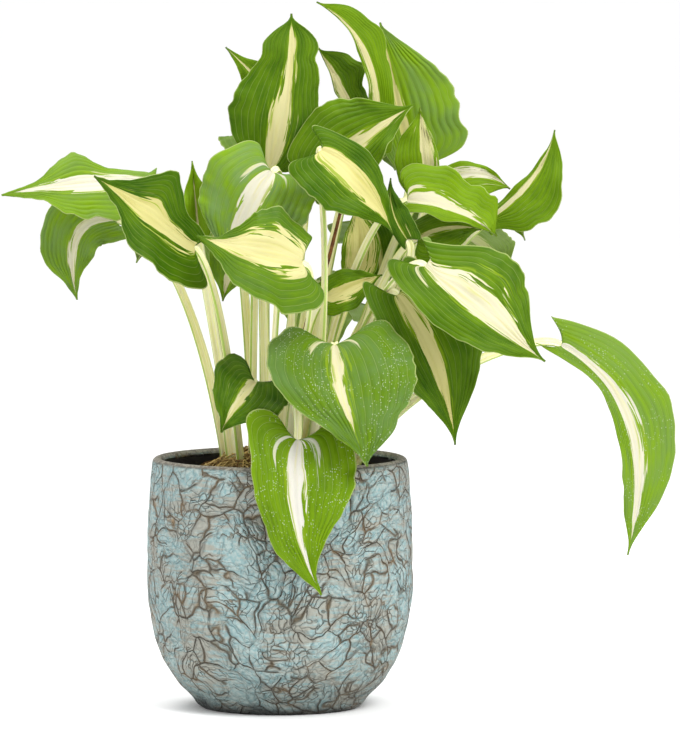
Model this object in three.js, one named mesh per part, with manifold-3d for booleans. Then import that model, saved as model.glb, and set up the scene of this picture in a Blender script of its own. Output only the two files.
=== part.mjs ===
// Potted hosta: a variegated plantain lily in a crackled ceramic cachepot.
// Millimetres, +Z up. The origin is the centre of the pot's foot, on the surface
// that it stands on; -Y is the side that the plant is looked at from.
import * as THREE from 'three';
import { ConvexGeometry } from 'three/addons/geometries/ConvexGeometry.js';
import { mergeVertices } from 'three/addons/utils/BufferGeometryUtils.js';
import ManifoldModule from 'manifold-3d';

const solids = await ManifoldModule();
solids.setup();

// ---------------------------------------------------------------- driving sizes

const SEAT = 0.3;            // play between two pieces that rest on each other

const POT = {
  height: 150,
  sides: 36,
  // radius and height of the outside, from the foot to the lip
  outside: [
    [47, 0], [49.5, 1.6], [54, 7], [62, 15], [66, 21], [70, 27], [74, 37], [77.5, 50],
    [80, 68], [80, 92], [79.3, 118], [78, 138], [76.6, 146.5],
  ],
  // and of the inside, from the floor to just under the lip
  inside: [[46, 9], [54, 15], [62.5, 27], [70, 50], [72.5, 70], [72.5, 92], [71.7, 120], [70.4, 140]],
};

const SOIL = { edge: 133, crown: 137, rings: 2 };
const MULCH = { radius: 52, crown: 15, hem: 2.4, lumps: 2.2, sides: 12, seed: 11 };

const BLADE = { thickness: 0.8, rows: 8, smallRows: 6, smallWidth: 46, columns: 6, baseEdge: 2.2 };
const PETIOLE = { rootWidth: 3.7, endWidth: 2.45, steps: 5 };

// The clump's shoots. Each has a crown in the soil, and its petioles are sunk in it.
const SHOOTS = ['left', 'front', 'middle', 'right', 'back'];
const CROWN = { bottom: 112, top: 124, shoulder: 1.6, toe: 0.6, petioleDepth: 6 };

// Each leaf: the midrib runs from base to tip and leans towards bend; face is the way
// that the middle of the upper side looks. left and right are the half widths, seen
// from above with the tip ahead; foldL/R and curlL/R (degrees) lift and roll them.
// edgeL/R widen or narrow a half, and liftL/R raise its margin, at five stations.
// root is where the petiole leaves the soil, via is a point that it leans towards.
const LEAVES = [
  // upright leaves at the top
  { shoot: 'middle', base: [-6, 6, 322], bend: [8, -6, 368], tip: [7, 8, 415], face: [0, -1, 0.35], left: 31, right: 25, root: [-6, 0], heart: 0.02, edgeL: [1, 1.05, 1, 1, 2.3], edgeR: [1, 1, 0.8, 1.1, 2.9] },
  { shoot: 'back', base: [8, 40, 350], bend: [-14, 38, 376], tip: [-33, 44, 394], face: [0, -1, 0.5], left: 11, right: 12, root: [-2, 14] },
  { shoot: 'middle', base: [54, 24, 338], bend: [42, 20, 362], tip: [23, 26, 394], face: [0.2, -1, 0.4], left: 5, right: 24, root: [12, 9], edgeR: [0.5, 0.4, 0.55, 1.3, 2.5] },
  { shoot: 'middle', base: [58, 10, 332], bend: [68, 8, 399], tip: [22, 4, 422], face: [0.3, -1, 0.2], left: 6, right: 20, heart: 0.04, root: [15.5, 3], edgeR: [0.6, 0.4, 0.55, 1.1, 2.1] },
  { shoot: 'right', base: [78, 40, 322], bend: [68, 34, 372], tip: [60, 38, 409], face: [0, -1, 0.3], left: 14, right: 38, heart: 0.05, root: [22, 13], edgeR: [1.3, 0.94, 0.97, 1.03, 1.3] },
  { shoot: 'right', base: [88, 5, 314], bend: [84, -1, 338], tip: [84, 4, 359], face: [0, -1, 0.3], left: 17, right: 8.5, root: [27, 1] },
  // leaves in the middle, above the stems
  { shoot: 'middle', base: [22, -16, 318], bend: [42, -28, 338], tip: [80, -28, 362], face: [-0.2, -1, 0.5], left: 34, right: 22, root: [6, -4] },
  { shoot: 'front', base: [25, -48, 336], bend: [52, -58, 325], tip: [67, -52, 287], face: [0.1, -1, 0.5], left: 18, right: 30, heart: 0.3, root: [12, -17], via: [40, -40, 276], turn: 0.04, edgeL: [0.9, 0.8, 0.75, 0.7, 0.7] },
  { shoot: 'middle', base: [-4, -30, 322], bend: [-18, -44, 305], tip: [-32, -36, 268], face: [0, -1, 0.4], left: 37, right: 33, heart: 0.3, root: [-6, -10], edgeL: [0.96, 0.9, 0.92, 0.95, 1], edgeR: [0.95, 1.03, 1.03, 1.12, 1.3] },
  { shoot: 'front', base: [14, -66, 270], bend: [-16, -88, 277], tip: [-48, -80, 287], face: [0, -0.9, 0.7], left: 35, right: 37, heart: 0.25, root: [2, -20], edgeL: [1.05, 1.05, 0.92, 1, 1], edgeR: [0.8, 0.95, 0.85, 0.55, 0.4] },
  // leaves on the left
  { shoot: 'left', base: [-50, -50, 279], bend: [-73, -72, 299], tip: [-108, -80, 322], face: [-0.2, -0.85, 0.75], left: 32, right: 27, foldR: 30, heart: 0.3, root: [-20, -19], edgeR: [0.35, 0.45, 1.15, 0.8, 0.85], liftR: [0, 0, 6, 2, 0] },
  { shoot: 'left', base: [-74, -8, 315], bend: [-118, -18, 317], tip: [-165, -24, 308], face: [0, -0.75, 0.7], left: 30, right: 29, heart: 0.1, root: [-26, 0], edgeR: [0.6, 0.62, 1, 0.72, 0.7], liftR: [-7, -12, -2, -4, 0] },
  { shoot: 'left', base: [-99, 20, 291], bend: [-132, 14, 294], tip: [-122, 20, 243], face: [-0.2, -1, 0.4], left: 15, right: 26, heart: 0.3, root: [-28, 9], turn: 0.2, edgeR: [1.1, 1, 0.95, 1, 1] },
  { shoot: 'left', base: [-48, -20, 284], bend: [-50, -24, 306], tip: [-52, -16, 328], face: [0.1, -1, 0.2], left: 9, right: 9, foldL: 40, foldR: 40, heart: 0.1, root: [-24, -9] },
  { shoot: 'left', base: [-20, -10, 285], bend: [-30, -14, 265], tip: [-34, -8, 244], face: [0, -1, 0.3], left: 13, right: 16, root: [-15, -4] },
  // leaves that hang in front of the stems and the pot
  { shoot: 'front', base: [33, -66, 222], bend: [35, -102, 195], tip: [52, -98, 153], face: [0, -1, 0.6], left: 45, right: 43, heart: 0.32, root: [14, -28], edgeL: [1, 1, 1.03, 1.2, 2.1], edgeR: [1, 0.98, 0.75, 0.57, 0.48] },
  { shoot: 'front', base: [-14, -50, 199], bend: [-26, -70, 190], tip: [-34, -64, 170], face: [-0.1, -1, 0.5], left: 23, right: 24, heart: 0.48, root: [-7, -30], edgeL: [0.8, 1.1, 1.15, 0.95, 1], edgeR: [1.4, 1, 0.78, 0.72, 0.75] },
  { shoot: 'front', base: [11, -78, 167], bend: [3, -98, 122], tip: [25, -95, 77], face: [0, -1, 0.3], left: 37, right: 29, heart: 0.28, root: [4, -34], via: [10, -52, 236], edgeL: [1.05, 1, 0.86, 0.62, 0.35], edgeR: [1.45, 0.86, 0.72, 0.88, 1.1] },
  // leaves on the right
  { shoot: 'right', base: [70, -43, 250], bend: [98, -60, 212], tip: [104, -56, 162], face: [0.2, -1, 0.3], left: 28, right: 20, heart: 0.3, root: [25, -20], rise: 0.3, edgeL: [1, 1.1, 1.22, 1.1, 1], edgeR: [1, 1.1, 1.2, 1.25, 1.2] },
  { shoot: 'right', base: [86, -58, 268], bend: [113, -90, 242], tip: [156, -92, 214], face: [0.1, -1, 0.65], left: 41, right: 23, heart: 0.3, root: [20, -11], rise: 0.55, edgeL: [0.3, 0.92, 1.05, 1.05, 1], edgeR: [1, 1, 1, 1.3, 1.6] },
  { shoot: 'right', base: [168, -10, 218], bend: [228, -18, 186], tip: [208, -12, 92], face: [0.3, -1, 0.2], left: 28, right: 16, heart: 0.2, root: [35, -9], edgeL: [0.62, 0.88, 1.1, 1.22, 1.4], edgeR: [0.5, 0.4, 0.55, 0.95, 1.8] },
  { shoot: 'middle', base: [76, -25, 305], bend: [104, -35, 305], tip: [129, -30, 284], face: [0, -0.9, 0.7], left: 32, right: 9, heart: 0.25, root: [14, -6], edgeL: [1, 0.85, 0.62, 0.95, 2.6], liftL: [0, 0, 4, 4, 0] },
  { shoot: 'right', base: [122, -6, 290], bend: [158, -12, 315], tip: [164, -4, 346], face: [-0.3, -1, 0.3], left: 5, right: 26, heart: 0.05, root: [35, 6], edgeR: [0.35, 0.85, 1, 1, 1.2] },
  { shoot: 'right', base: [82, -16, 282], bend: [104, -20, 292], tip: [120, -14, 287], face: [0, -1, 0.5], left: 12, right: 19, root: [27, -7] },
  { shoot: 'right', base: [90, 14, 310], bend: [118, 9, 328], tip: [138, 13, 310], face: [0, -1, 0.3], left: 8, right: 20, heart: 0.05, root: [30, 3], edgeR: [0.8, 0.9, 1, 1.2, 1.8] },
  { shoot: 'right', base: [120, 12, 292], bend: [140, 10, 300], tip: [147, 14, 279], face: [0, -1, 0.5], left: 6, right: 8, root: [36, 1] },
  // small leaves among the stems
  { shoot: 'front', base: [28, -26, 247], bend: [46, -33, 256], tip: [61, -29, 261], face: [0, -1, 0.4], left: 12, right: 13, root: [6, -13] },
  { shoot: 'right', base: [76, -31, 282], bend: [63, -42, 300], tip: [66, -40, 319], face: [0, -1, 0.1], left: 5, right: 9, root: [22, -14] },
  { shoot: 'middle', base: [46, 2, 262], bend: [50, 0, 285], tip: [44, 6, 301], face: [0, -1, 0.2], left: 10, right: 12, root: [8, 2] },
  { shoot: 'middle', base: [60, 18, 258], bend: [62, 22, 288], tip: [40, 18, 308], face: [0, -1, 0.2], left: 17, right: 14, root: [13.5, 6] },
  // leaves at the back
  { shoot: 'back', base: [-30, 58, 292], bend: [-38, 88, 284], tip: [-36, 108, 246], face: [0, 1, 0.6], left: 26, right: 26, heart: 0.3, root: [-13, 22] },
  { shoot: 'back', base: [52, 58, 290], bend: [66, 86, 286], tip: [84, 108, 244], face: [0, 1, 0.6], left: 28, right: 28, heart: 0.3, root: [18, 25] },
  { shoot: 'back', base: [20, 62, 252], bend: [24, 100, 240], tip: [26, 122, 190], face: [0, 1, 0.6], left: 23, right: 23, heart: 0.3, root: [3, 31] },
  { shoot: 'back', base: [-10, 52, 330], bend: [-12, 88, 348], tip: [-12, 122, 312], face: [0, 0.5, 1], left: 26, right: 24, heart: 0.25, root: [-8, 15] },
  { shoot: 'back', base: [46, 60, 330], bend: [56, 96, 352], tip: [70, 128, 316], face: [0.1, 0.5, 1], left: 28, right: 27, heart: 0.25, root: [10, 18] },
  { shoot: 'right', base: [96, 50, 280], bend: [120, 72, 286], tip: [140, 92, 250], face: [0.3, 0.6, 1], left: 24, right: 26, heart: 0.28, root: [32, 14] },
  { shoot: 'back', base: [58, 66, 236], bend: [70, 100, 226], tip: [80, 116, 182], face: [0.2, 1, 0.6], left: 20, right: 20, heart: 0.3, root: [14, 34] },
  { shoot: 'left', base: [-60, 34, 284], bend: [-76, 56, 288], tip: [-88, 76, 262], face: [-0.3, 0.6, 1], left: 20, right: 21, heart: 0.28, root: [-22, 12] },
];

const LEAF_HABIT = {
  twist: 0, foldL: 12, foldR: 12, curlL: 20, curlR: 20,
  wave: 2, waves: 3, phase: 0, heart: 0.22, rise: 0.4, turn: 0.14,
  edgeL: [1, 1, 1, 1, 1], edgeR: [1, 1, 1, 1, 1], liftL: [0, 0, 0, 0, 0], liftR: [0, 0, 0, 0, 0],
};
const EDGE_STATIONS = [0, 0.1, 0.3, 0.5, 0.7, 0.9, 1];
const DRIP_TIP = { from: 0.62, narrowing: 0.3 };

// A dry flower stalk from last year, thin and bent over.
const DRY_STALK = { points: [[1, 5, 126.5], [8, 0, 190], [16, -8, 231], [27, -12, 262], [36, -14, 297]], radius: 1.2, sides: 6 };

// --------------------------------------------------------------------- materials

const surface = (color, roughness) => new THREE.MeshStandardMaterial({ color, roughness, metalness: 0 });
const FINISH = {
  ceramic: surface(0x6f8587, 0.7),
  soil: surface(0x2a1d14, 0.95),
  fibre: surface(0xa9783c, 0.9),
  leaf: surface(0x5f9a2f, 0.5),
  petiole: surface(0xdfe2b0, 0.5),
  dry: surface(0x8a5a34, 0.85),
};

// ---------------------------------------------------------------- solid builders

const vec = (p) => new THREE.Vector3(...p);
const mix = THREE.MathUtils.lerp;
const radians = THREE.MathUtils.degToRad;

/** Indexed geometry whose faces look outwards. */
function closedGeometry(points, triangles) {
  const volume = triangles.reduce((sum, [a, b, c]) => sum + points[a].dot(points[b].clone().cross(points[c])), 0);
  const outward = volume > 0 ? triangles : triangles.map(([a, b, c]) => [a, c, b]);
  const geometry = new THREE.BufferGeometry();
  geometry.setAttribute('position', new THREE.Float32BufferAttribute(points.flatMap((p) => [p.x, p.y, p.z]), 3));
  geometry.setIndex(outward.flat());
  geometry.computeVertexNormals();
  return geometry;
}

/** Solid between two like grids of points, with a wall round the edge. */
function sheetGeometry(upper, lower) {
  const rows = upper.length;
  const columns = upper[0].length;
  const under = rows * columns;
  const at = (i, j) => i * columns + j;
  const triangles = [];
  for (let i = 0; i < rows - 1; i++) {
    for (let j = 0; j < columns - 1; j++) {
      const [a, b, c, d] = [at(i, j), at(i, j + 1), at(i + 1, j + 1), at(i + 1, j)];
      triangles.push([a, b, c], [a, c, d], [a + under, c + under, b + under], [a + under, d + under, c + under]);
    }
  }
  const rim = [];
  for (let j = 0; j < columns - 1; j++) rim.push(at(0, j));
  for (let i = 0; i < rows - 1; i++) rim.push(at(i, columns - 1));
  for (let j = columns - 1; j > 0; j--) rim.push(at(rows - 1, j));
  for (let i = rows - 1; i > 0; i--) rim.push(at(i, 0));
  rim.forEach((a, k) => {
    const b = rim[(k + 1) % rim.length];
    triangles.push([a + under, b + under, b], [a + under, b, a]);
  });
  return closedGeometry([...upper.flat(), ...lower.flat()], triangles);
}

/** Solid through a row of like rings, closed by a fan at both ends. */
function loftGeometry(rings, fanFrom = 0) {
  const n = rings[0].length;
  const triangles = [];
  for (let i = 0; i < rings.length - 1; i++) {
    for (let j = 0; j < n; j++) {
      const [a, b] = [i * n + j, i * n + (j + 1) % n];
      triangles.push([a, b, b + n], [a, b + n, a + n]);
    }
  }
  const last = (rings.length - 1) * n;
  for (let k = 1; k < n - 1; k++) {
    const [b, c] = [(fanFrom + k) % n, (fanFrom + k + 1) % n];
    triangles.push([fanFrom, c, b], [last + fanFrom, last + b, last + c]);
  }
  return closedGeometry(rings.flat(), triangles);
}

/** Solid of revolution: profile points [radius, height] run from the axis to the axis. */
function turnedGeometry(profile, sides) {
  const first = new THREE.Vector3(0, 0, profile[0][1]);
  const last = new THREE.Vector3(0, 0, profile.at(-1)[1]);
  const bands = profile.slice(1, -1);
  const points = bands.flatMap(([r, z]) => Array.from({ length: sides }, (_, k) => {
    const a = 2 * Math.PI * k / sides;
    return new THREE.Vector3(r * Math.cos(a), r * Math.sin(a), z);
  }));
  const triangles = [];
  const end = points.length - sides;
  for (let k = 0; k < sides; k++) {
    const next = (k + 1) % sides;
    for (let i = 0; i < bands.length - 1; i++) {
      const [a, b] = [i * sides + k, i * sides + next];
      triangles.push([a, b, b + sides], [a, b + sides, a + sides]);
    }
    triangles.push([points.length, next, k], [points.length + 1, end + k, end + next]);
  }
  return closedGeometry([...points, first, last], triangles);
}

function toSolid(geometry) {
  const mesh = new solids.Mesh({
    numProp: 3,
    vertProperties: new Float32Array(geometry.attributes.position.array),
    triVerts: new Uint32Array(geometry.index.array),
  });
  mesh.merge();
  return new solids.Manifold(mesh);
}

function toGeometry(solid) {
  const mesh = solid.getMesh();
  const geometry = new THREE.BufferGeometry();
  geometry.setAttribute('position', new THREE.BufferAttribute(new Float32Array(mesh.vertProperties), 3));
  geometry.setIndex(new THREE.BufferAttribute(new Uint32Array(mesh.triVerts), 1));
  geometry.computeVertexNormals();
  return geometry;
}

/** Seeded random numbers in 0..1. */
function randomiser(seed) {
  let state = seed;
  return () => {
    state = (state * 1664525 + 1013904223) % 4294967296;
    return state / 4294967296;
  };
}

// -------------------------------------------------------------------- leaf shape

/** Carry a normal from one point of a curve to the next without spin. */
function carryNormal(normal, tangent, from, to, nextTangent) {
  const step = to.clone().sub(from);
  const reflect = (v, axis) => v.clone().addScaledVector(axis, -2 * v.dot(axis) / axis.lengthSq());
  const normalSide = reflect(normal, step);
  const turn = nextTangent.clone().sub(reflect(tangent, step));
  return turn.lengthSq() < 1e-12 ? normalSide : reflect(normalSide, turn);
}

const MIDRIB_STATIONS = 40;

/** Points, tangents, normals, side directions and running length of a leaf's midrib. */
function midribOf(leaf) {
  const curve = new THREE.QuadraticBezierCurve3(vec(leaf.base), vec(leaf.bend), vec(leaf.tip));
  const n = MIDRIB_STATIONS;
  const points = Array.from({ length: n + 1 }, (_, i) => curve.getPoint(i / n));
  const tangents = points.map((_, i) => curve.getTangent(i / n));
  const normals = [];
  const middle = n / 2;
  const face = vec(leaf.face);
  normals[middle] = face.addScaledVector(tangents[middle], -face.dot(tangents[middle])).normalize();
  for (let i = middle; i < n; i++) normals[i + 1] = carryNormal(normals[i], tangents[i], points[i], points[i + 1], tangents[i + 1]);
  for (let i = middle; i > 0; i--) normals[i - 1] = carryNormal(normals[i], tangents[i], points[i], points[i - 1], tangents[i - 1]);
  normals.forEach((normal, i) => normal.applyAxisAngle(tangents[i], -radians(leaf.twist) * (i / n - 0.5)));
  const sides = normals.map((normal, i) => tangents[i].clone().cross(normal));
  const reach = [0];
  for (let i = 1; i <= n; i++) reach.push(reach[i - 1] + points[i].distanceTo(points[i - 1]));
  return { points, tangents, normals, sides, reach };
}

/** Outline of a hosta blade at s = 0 (base) to 1 (tip): width 0..1 and height 0..1. */
function outlineAt(s, heart) {
  const bulge = Math.max(0, Math.sin(Math.PI * s ** 0.716));
  const lobe = (s / 0.12) * Math.exp(1 - s / 0.12);
  return { width: bulge ** (s < 0.38 ? 0.8 : 1.2), height: s - heart * lobe * (1 - s) };
}

/** Smooth row of values at the edge stations, with the same value beyond both ends. */
function atStations(values, ends, s) {
  const row = [ends, ...values, ends];
  const k = Math.min(EDGE_STATIONS.findLastIndex((station) => s >= station), EDGE_STATIONS.length - 2);
  return mix(row[k], row[k + 1], THREE.MathUtils.smoothstep(s, EDGE_STATIONS[k], EDGE_STATIONS[k + 1]));
}

/** A point of the blade's middle surface; v runs from -1 (left margin) to 1 (right). */
function bladePoint(leaf, rib, s, v) {
  const side = Math.abs(v);
  const half = v < 0 ? leaf.left : leaf.right;
  const { width, height } = outlineAt(s, leaf.heart);
  const length = rib.reach.at(-1);
  const drip = 1 - DRIP_TIP.narrowing * THREE.MathUtils.smoothstep(s, DRIP_TIP.from, 1);
  const edge = drip * atStations(v < 0 ? leaf.edgeL : leaf.edgeR, 1, s);
  const across = side * (BLADE.baseEdge * (1 - s) ** 3 + half * Math.max(width, 0.02) * edge);
  const along = length * mix(s, height, side ** 1.5);

  const target = THREE.MathUtils.clamp(along, 0, length);
  let i = rib.reach.findIndex((r) => r > target) - 1;
  if (i < 0) i = MIDRIB_STATIONS - 1;
  const f = (target - rib.reach[i]) / (rib.reach[i + 1] - rib.reach[i]);
  const between = (list) => list[i].clone().lerp(list[i + 1], f);
  const tangent = between(rib.tangents).normalize();
  const normal = between(rib.normals).normalize();
  const outward = between(rib.sides).normalize();

  const fold = radians(v < 0 ? leaf.foldL : leaf.foldR);
  const curl = radians(Math.max(0.01, v < 0 ? leaf.curlL : leaf.curlR)) / half;
  const lateral = (Math.sin(fold) - Math.sin(fold - curl * across)) / curl;
  const lift = (Math.cos(fold - curl * across) - Math.cos(fold)) / curl;
  const raised = side ** 2 * atStations(v < 0 ? leaf.liftL : leaf.liftR, 0, s);
  const ripple = leaf.wave * side ** 2 * Math.sin(2 * Math.PI * leaf.waves * s + leaf.phase + (v < 0 ? 0 : 2))
    * Math.sin(Math.PI * s) ** 0.6;

  return between(rib.points)
    .addScaledVector(tangent, Math.min(along, 0))
    .addScaledVector(outward, Math.sign(v) * lateral)
    .addScaledVector(normal, lift + raised + (Number.isFinite(ripple) ? ripple : 0));
}

function bladeGeometry(leaf) {
  const rib = midribOf(leaf);
  const upper = [];
  const lower = [];
  const rows = leaf.left + leaf.right < BLADE.smallWidth ? BLADE.smallRows : BLADE.rows;
  for (let i = 0; i <= rows; i++) {
    const s = (i / rows) ** 1.15;
    const rowUp = [];
    const rowDown = [];
    for (let j = 0; j <= BLADE.columns; j++) {
      const v = 2 * j / BLADE.columns - 1;
      const point = bladePoint(leaf, rib, s, v);
      const s0 = Math.min(Math.max(s, 0.02), 0.97);
      const alongBlade = bladePoint(leaf, rib, s0 + 0.01, v).sub(bladePoint(leaf, rib, s0 - 0.01, v));
      const acrossBlade = bladePoint(leaf, rib, s0, Math.min(v + 0.04, 1)).sub(bladePoint(leaf, rib, s0, Math.max(v - 0.04, -1)));
      const normal = acrossBlade.cross(alongBlade);
      if (i === 0) normal.addScaledVector(rib.tangents[0], -normal.dot(rib.tangents[0]));
      normal.normalize();
      rowUp.push(point.clone().addScaledVector(normal, BLADE.thickness / 2));
      rowDown.push(point.clone().addScaledVector(normal, -BLADE.thickness / 2));
    }
    upper.push(rowUp);
    lower.push(rowDown);
  }
  return sheetGeometry(upper, lower);
}

// Cross section of a petiole, in half widths: rounded below, a channel on top, and of
// the plain hole that it stands in.
const CHANNEL = [[-1, 0], [-0.55, -0.8], [0.55, -0.8], [1, 0], [0.6, 0.3], [0, -0.12], [-0.6, 0.3]];
const HOLE = [[-1.1, -0.95], [1.1, -0.95], [1.1, 0.45], [-1.1, 0.45]];
const CHANNEL_KEEL = 1;

/** The petiole's curve: up out of the soil, then over into the blade's midrib. */
function petioleCurve(leaf) {
  const [x, y] = leaf.root;
  const foot = new THREE.Vector3(x, y, CROWN.top - CROWN.petioleDepth);
  const base = vec(leaf.base);
  const heading = vec(leaf.bend).sub(base).normalize();
  const end = base.addScaledVector(heading, -2 * SEAT);
  const span = end.distanceTo(foot);
  const lean = leaf.via ? vec(leaf.via) : foot.clone().add(new THREE.Vector3(x * 0.004, y * 0.004, 1).multiplyScalar(span * leaf.rise));
  return new THREE.CubicBezierCurve3(foot, lean, end.clone().addScaledVector(heading, -span * leaf.turn), end);
}

/** Rings of a petiole from its crown up, or with play, of the plain hole round it. */
function petioleRings(leaf, section = CHANNEL, play = 0) {
  const curve = petioleCurve(leaf);
  const n = PETIOLE.steps;
  const points = curve.getPoints(n);
  const tangents = points.map((_, i) => curve.getTangent(i / n));
  const normals = [];
  normals[n] = midribOf(leaf).normals[0];
  for (let i = n; i > 0; i--) normals[i - 1] = carryNormal(normals[i], tangents[i], points[i], points[i - 1], tangents[i - 1]);
  points[0].addScaledVector(tangents[0], -play);
  return points.map((point, i) => {
    const normal = normals[i].clone().addScaledVector(tangents[i], -normals[i].dot(tangents[i])).normalize();
    const side = tangents[i].clone().cross(normal);
    const half = mix(PETIOLE.rootWidth, PETIOLE.endWidth, i / n);
    return section.map(([b, h]) => {
      const reach = half + play / Math.hypot(b, h);
      return point.clone().addScaledVector(side, b * reach).addScaledVector(normal, h * reach);
    });
  });
}

const leavesOf = (shoot) => LEAVES.filter((leaf) => leaf.shoot === shoot);

/** The solid without the crumbs that neighbouring holes cut off it. */
const largestBody = (solid) => solid.decompose().sort((a, b) => b.volume() - a.volume())[0];

/** The crown spans its petioles' feet: a knob, narrower below. */
function crownSolid(shoot, play = 0) {
  const { bottom, top, shoulder, toe } = CROWN;
  const corners = leavesOf(shoot).flatMap(({ root: [x, y] }) => [[shoulder, top + play], [toe, bottom - play]].flatMap(
    ([reach, z]) => [[-1, -1], [1, -1], [1, 1], [-1, 1]].map(([i, j]) => new THREE.Vector3(x + i * (reach + play), y + j * (reach + play), z)),
  ));
  const hull = new ConvexGeometry(corners);
  hull.deleteAttribute('normal');
  return toSolid(mergeVertices(hull));
}

/** All the petioles of a shoot, grown together at its crown. */
function shootSolid(shoot) {
  const petioles = leavesOf(shoot).map((leaf) => toSolid(loftGeometry(petioleRings(leaf), CHANNEL_KEEL)));
  return solids.Manifold.union([crownSolid(shoot), ...petioles]);
}

// ------------------------------------------------------------- pot, soil, mulch

function potGeometry() {
  const { height, sides, outside, inside } = POT;
  const [outerLip] = outside.at(-1);
  const [innerLip] = inside.at(-1);
  const lip = [[outerLip - 1.4, height - 0.8], [(outerLip + innerLip) / 2, height], [innerLip + 1.2, height - 1.2]];
  return turnedGeometry([[0, 0], ...outside, ...lip, ...inside.toReversed(), [0, inside[0][1]]], sides);
}

/** Inner radius of the pot at a height. */
function innerRadius(z) {
  const k = POT.inside.findIndex(([, h]) => h >= z);
  const [[r0, z0], [r1, z1]] = [POT.inside[k - 1], POT.inside[k]];
  return mix(r0, r1, (z - z0) / (z1 - z0));
}

const soilTop = (r) => mix(SOIL.crown, SOIL.edge, Math.min(1, r / innerRadius(SOIL.edge)) ** 2);

/** Plain holes for the stems: each is its stem's shape with some play. */
const stemHoles = () => solids.Manifold.union([
  ...SHOOTS.map((shoot) => crownSolid(shoot, SEAT)),
  ...LEAVES.map((leaf) => toSolid(loftGeometry(petioleRings(leaf, HOLE, SEAT)))),
  toSolid(stalkGeometry(SEAT)),
]);

function soilGeometry(holes) {
  const edgeRadius = innerRadius(SOIL.edge);
  const wall = [...POT.inside.filter(([, z], k) => z < SOIL.edge && k !== 3 && k !== 5), [edgeRadius, SOIL.edge]];
  const side = wall.map(([r, z], k) => [r - SEAT - (k < 2 ? 0.5 : 0), k === 0 ? z + SEAT : z]);
  const top = Array.from({ length: SOIL.rings }, (_, k) => {
    const r = edgeRadius * (1 - (k + 1) / (SOIL.rings + 1));
    return [r, soilTop(r)];
  });
  const body = turnedGeometry([[0, side[0][1]], ...side, ...top, [0, SOIL.crown]], POT.sides);
  return toGeometry(largestBody(toSolid(body).subtract(holes)).simplify(0.2));
}

/** A loose heap of coarse fibre round the crowns: a low mound with a lumpy back. */
function mulchGeometry(holes) {
  const { radius, crown, hem, lumps, sides, seed } = MULCH;
  const heapTop = (r) => soilTop(r) + mix(crown, hem, (r / radius) ** 2.6);
  const bed = [0.5, 1].map((k) => [radius * k, soilTop(radius * k) + 1.5 * SEAT]);
  const back = [1, 0.66, 0.33].map((k) => [radius * k - (k === 1 ? 1 : 0), heapTop(radius * k)]);
  const mound = turnedGeometry([[0, SOIL.crown + 1.5 * SEAT], ...bed, ...back, [0, heapTop(0)]], sides);
  const random = randomiser(seed);
  const place = mound.attributes.position;
  for (let i = bed.length * sides; i < (bed.length + back.length) * sides; i++) {
    place.setZ(i, place.getZ(i) + lumps * (random() - 0.4));
  }
  return toGeometry(largestBody(toSolid(mound).subtract(holes)).simplify(0.2));
}

function stalkGeometry(grow = 0) {
  const curve = new THREE.CatmullRomCurve3(DRY_STALK.points.map(vec));
  const steps = 7;
  const frames = curve.computeFrenetFrames(steps);
  const rings = Array.from({ length: steps + 1 }, (_, i) => {
    const centre = curve.getPointAt(i / steps);
    const radius = DRY_STALK.radius * mix(1.2, 0.8, i / steps) + grow;
    return Array.from({ length: DRY_STALK.sides }, (_, k) => {
      const a = 2 * Math.PI * k / DRY_STALK.sides;
      return centre.clone().addScaledVector(frames.normals[i], radius * Math.cos(a)).addScaledVector(frames.binormals[i], radius * Math.sin(a));
    });
  });
  return loftGeometry(rings);
}

// ---------------------------------------------------------------------- assembly

function piece(name, geometry, material) {
  const mesh = new THREE.Mesh(geometry, material);
  mesh.name = name;
  return mesh;
}

const hosta = new THREE.Group();
hosta.name = 'potted_hosta';

const plant = new THREE.Group();
plant.name = 'plant';
LEAVES.forEach((shape, k) => {
  const leaf = { ...LEAF_HABIT, ...shape };
  LEAVES[k] = leaf;
  plant.add(piece(`leaf_blade_${String(k + 1).padStart(2, '0')}`, bladeGeometry(leaf), FINISH.leaf));
});
for (const shoot of SHOOTS) {
  plant.add(piece(`petioles_${shoot}_shoot`, toGeometry(shootSolid(shoot)), FINISH.petiole));
}
plant.add(piece('dry_flower_stalk', stalkGeometry(), FINISH.dry));

const holes = stemHoles();
hosta.add(
  piece('pot', potGeometry(), FINISH.ceramic),
  piece('soil', soilGeometry(holes), FINISH.soil),
  piece('fibre_mulch', mulchGeometry(holes), FINISH.fibre),
  plant,
);

export default hosta;
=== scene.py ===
"""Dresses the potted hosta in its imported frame: blades, petioles, soil, fibre and pot.

Lengths are in millimetres until a mesh is written, and metres from then on.
"""
import logging
import math
import random
from dataclasses import dataclass
from enum import Enum

import bmesh
import bpy
import numpy as np
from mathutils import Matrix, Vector, noise


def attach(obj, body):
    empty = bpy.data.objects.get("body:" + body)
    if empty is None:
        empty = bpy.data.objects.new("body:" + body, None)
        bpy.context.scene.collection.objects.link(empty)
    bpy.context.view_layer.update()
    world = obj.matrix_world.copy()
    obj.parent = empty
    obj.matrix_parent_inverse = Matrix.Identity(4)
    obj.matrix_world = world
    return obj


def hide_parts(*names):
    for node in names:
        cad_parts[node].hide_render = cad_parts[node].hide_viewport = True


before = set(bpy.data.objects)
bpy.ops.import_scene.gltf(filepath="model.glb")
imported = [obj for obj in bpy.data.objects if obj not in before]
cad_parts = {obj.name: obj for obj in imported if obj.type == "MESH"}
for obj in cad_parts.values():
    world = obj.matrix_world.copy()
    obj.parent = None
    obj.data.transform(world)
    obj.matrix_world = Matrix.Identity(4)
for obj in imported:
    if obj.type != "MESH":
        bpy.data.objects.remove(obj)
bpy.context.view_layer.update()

LOG = logging.getLogger("hosta")
MM = 0.001
STUDIO_LIGHT = 1.75  # how much brighter than its own colour a pale surface shows under the studio's light
TURN = 2 * math.pi


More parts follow.
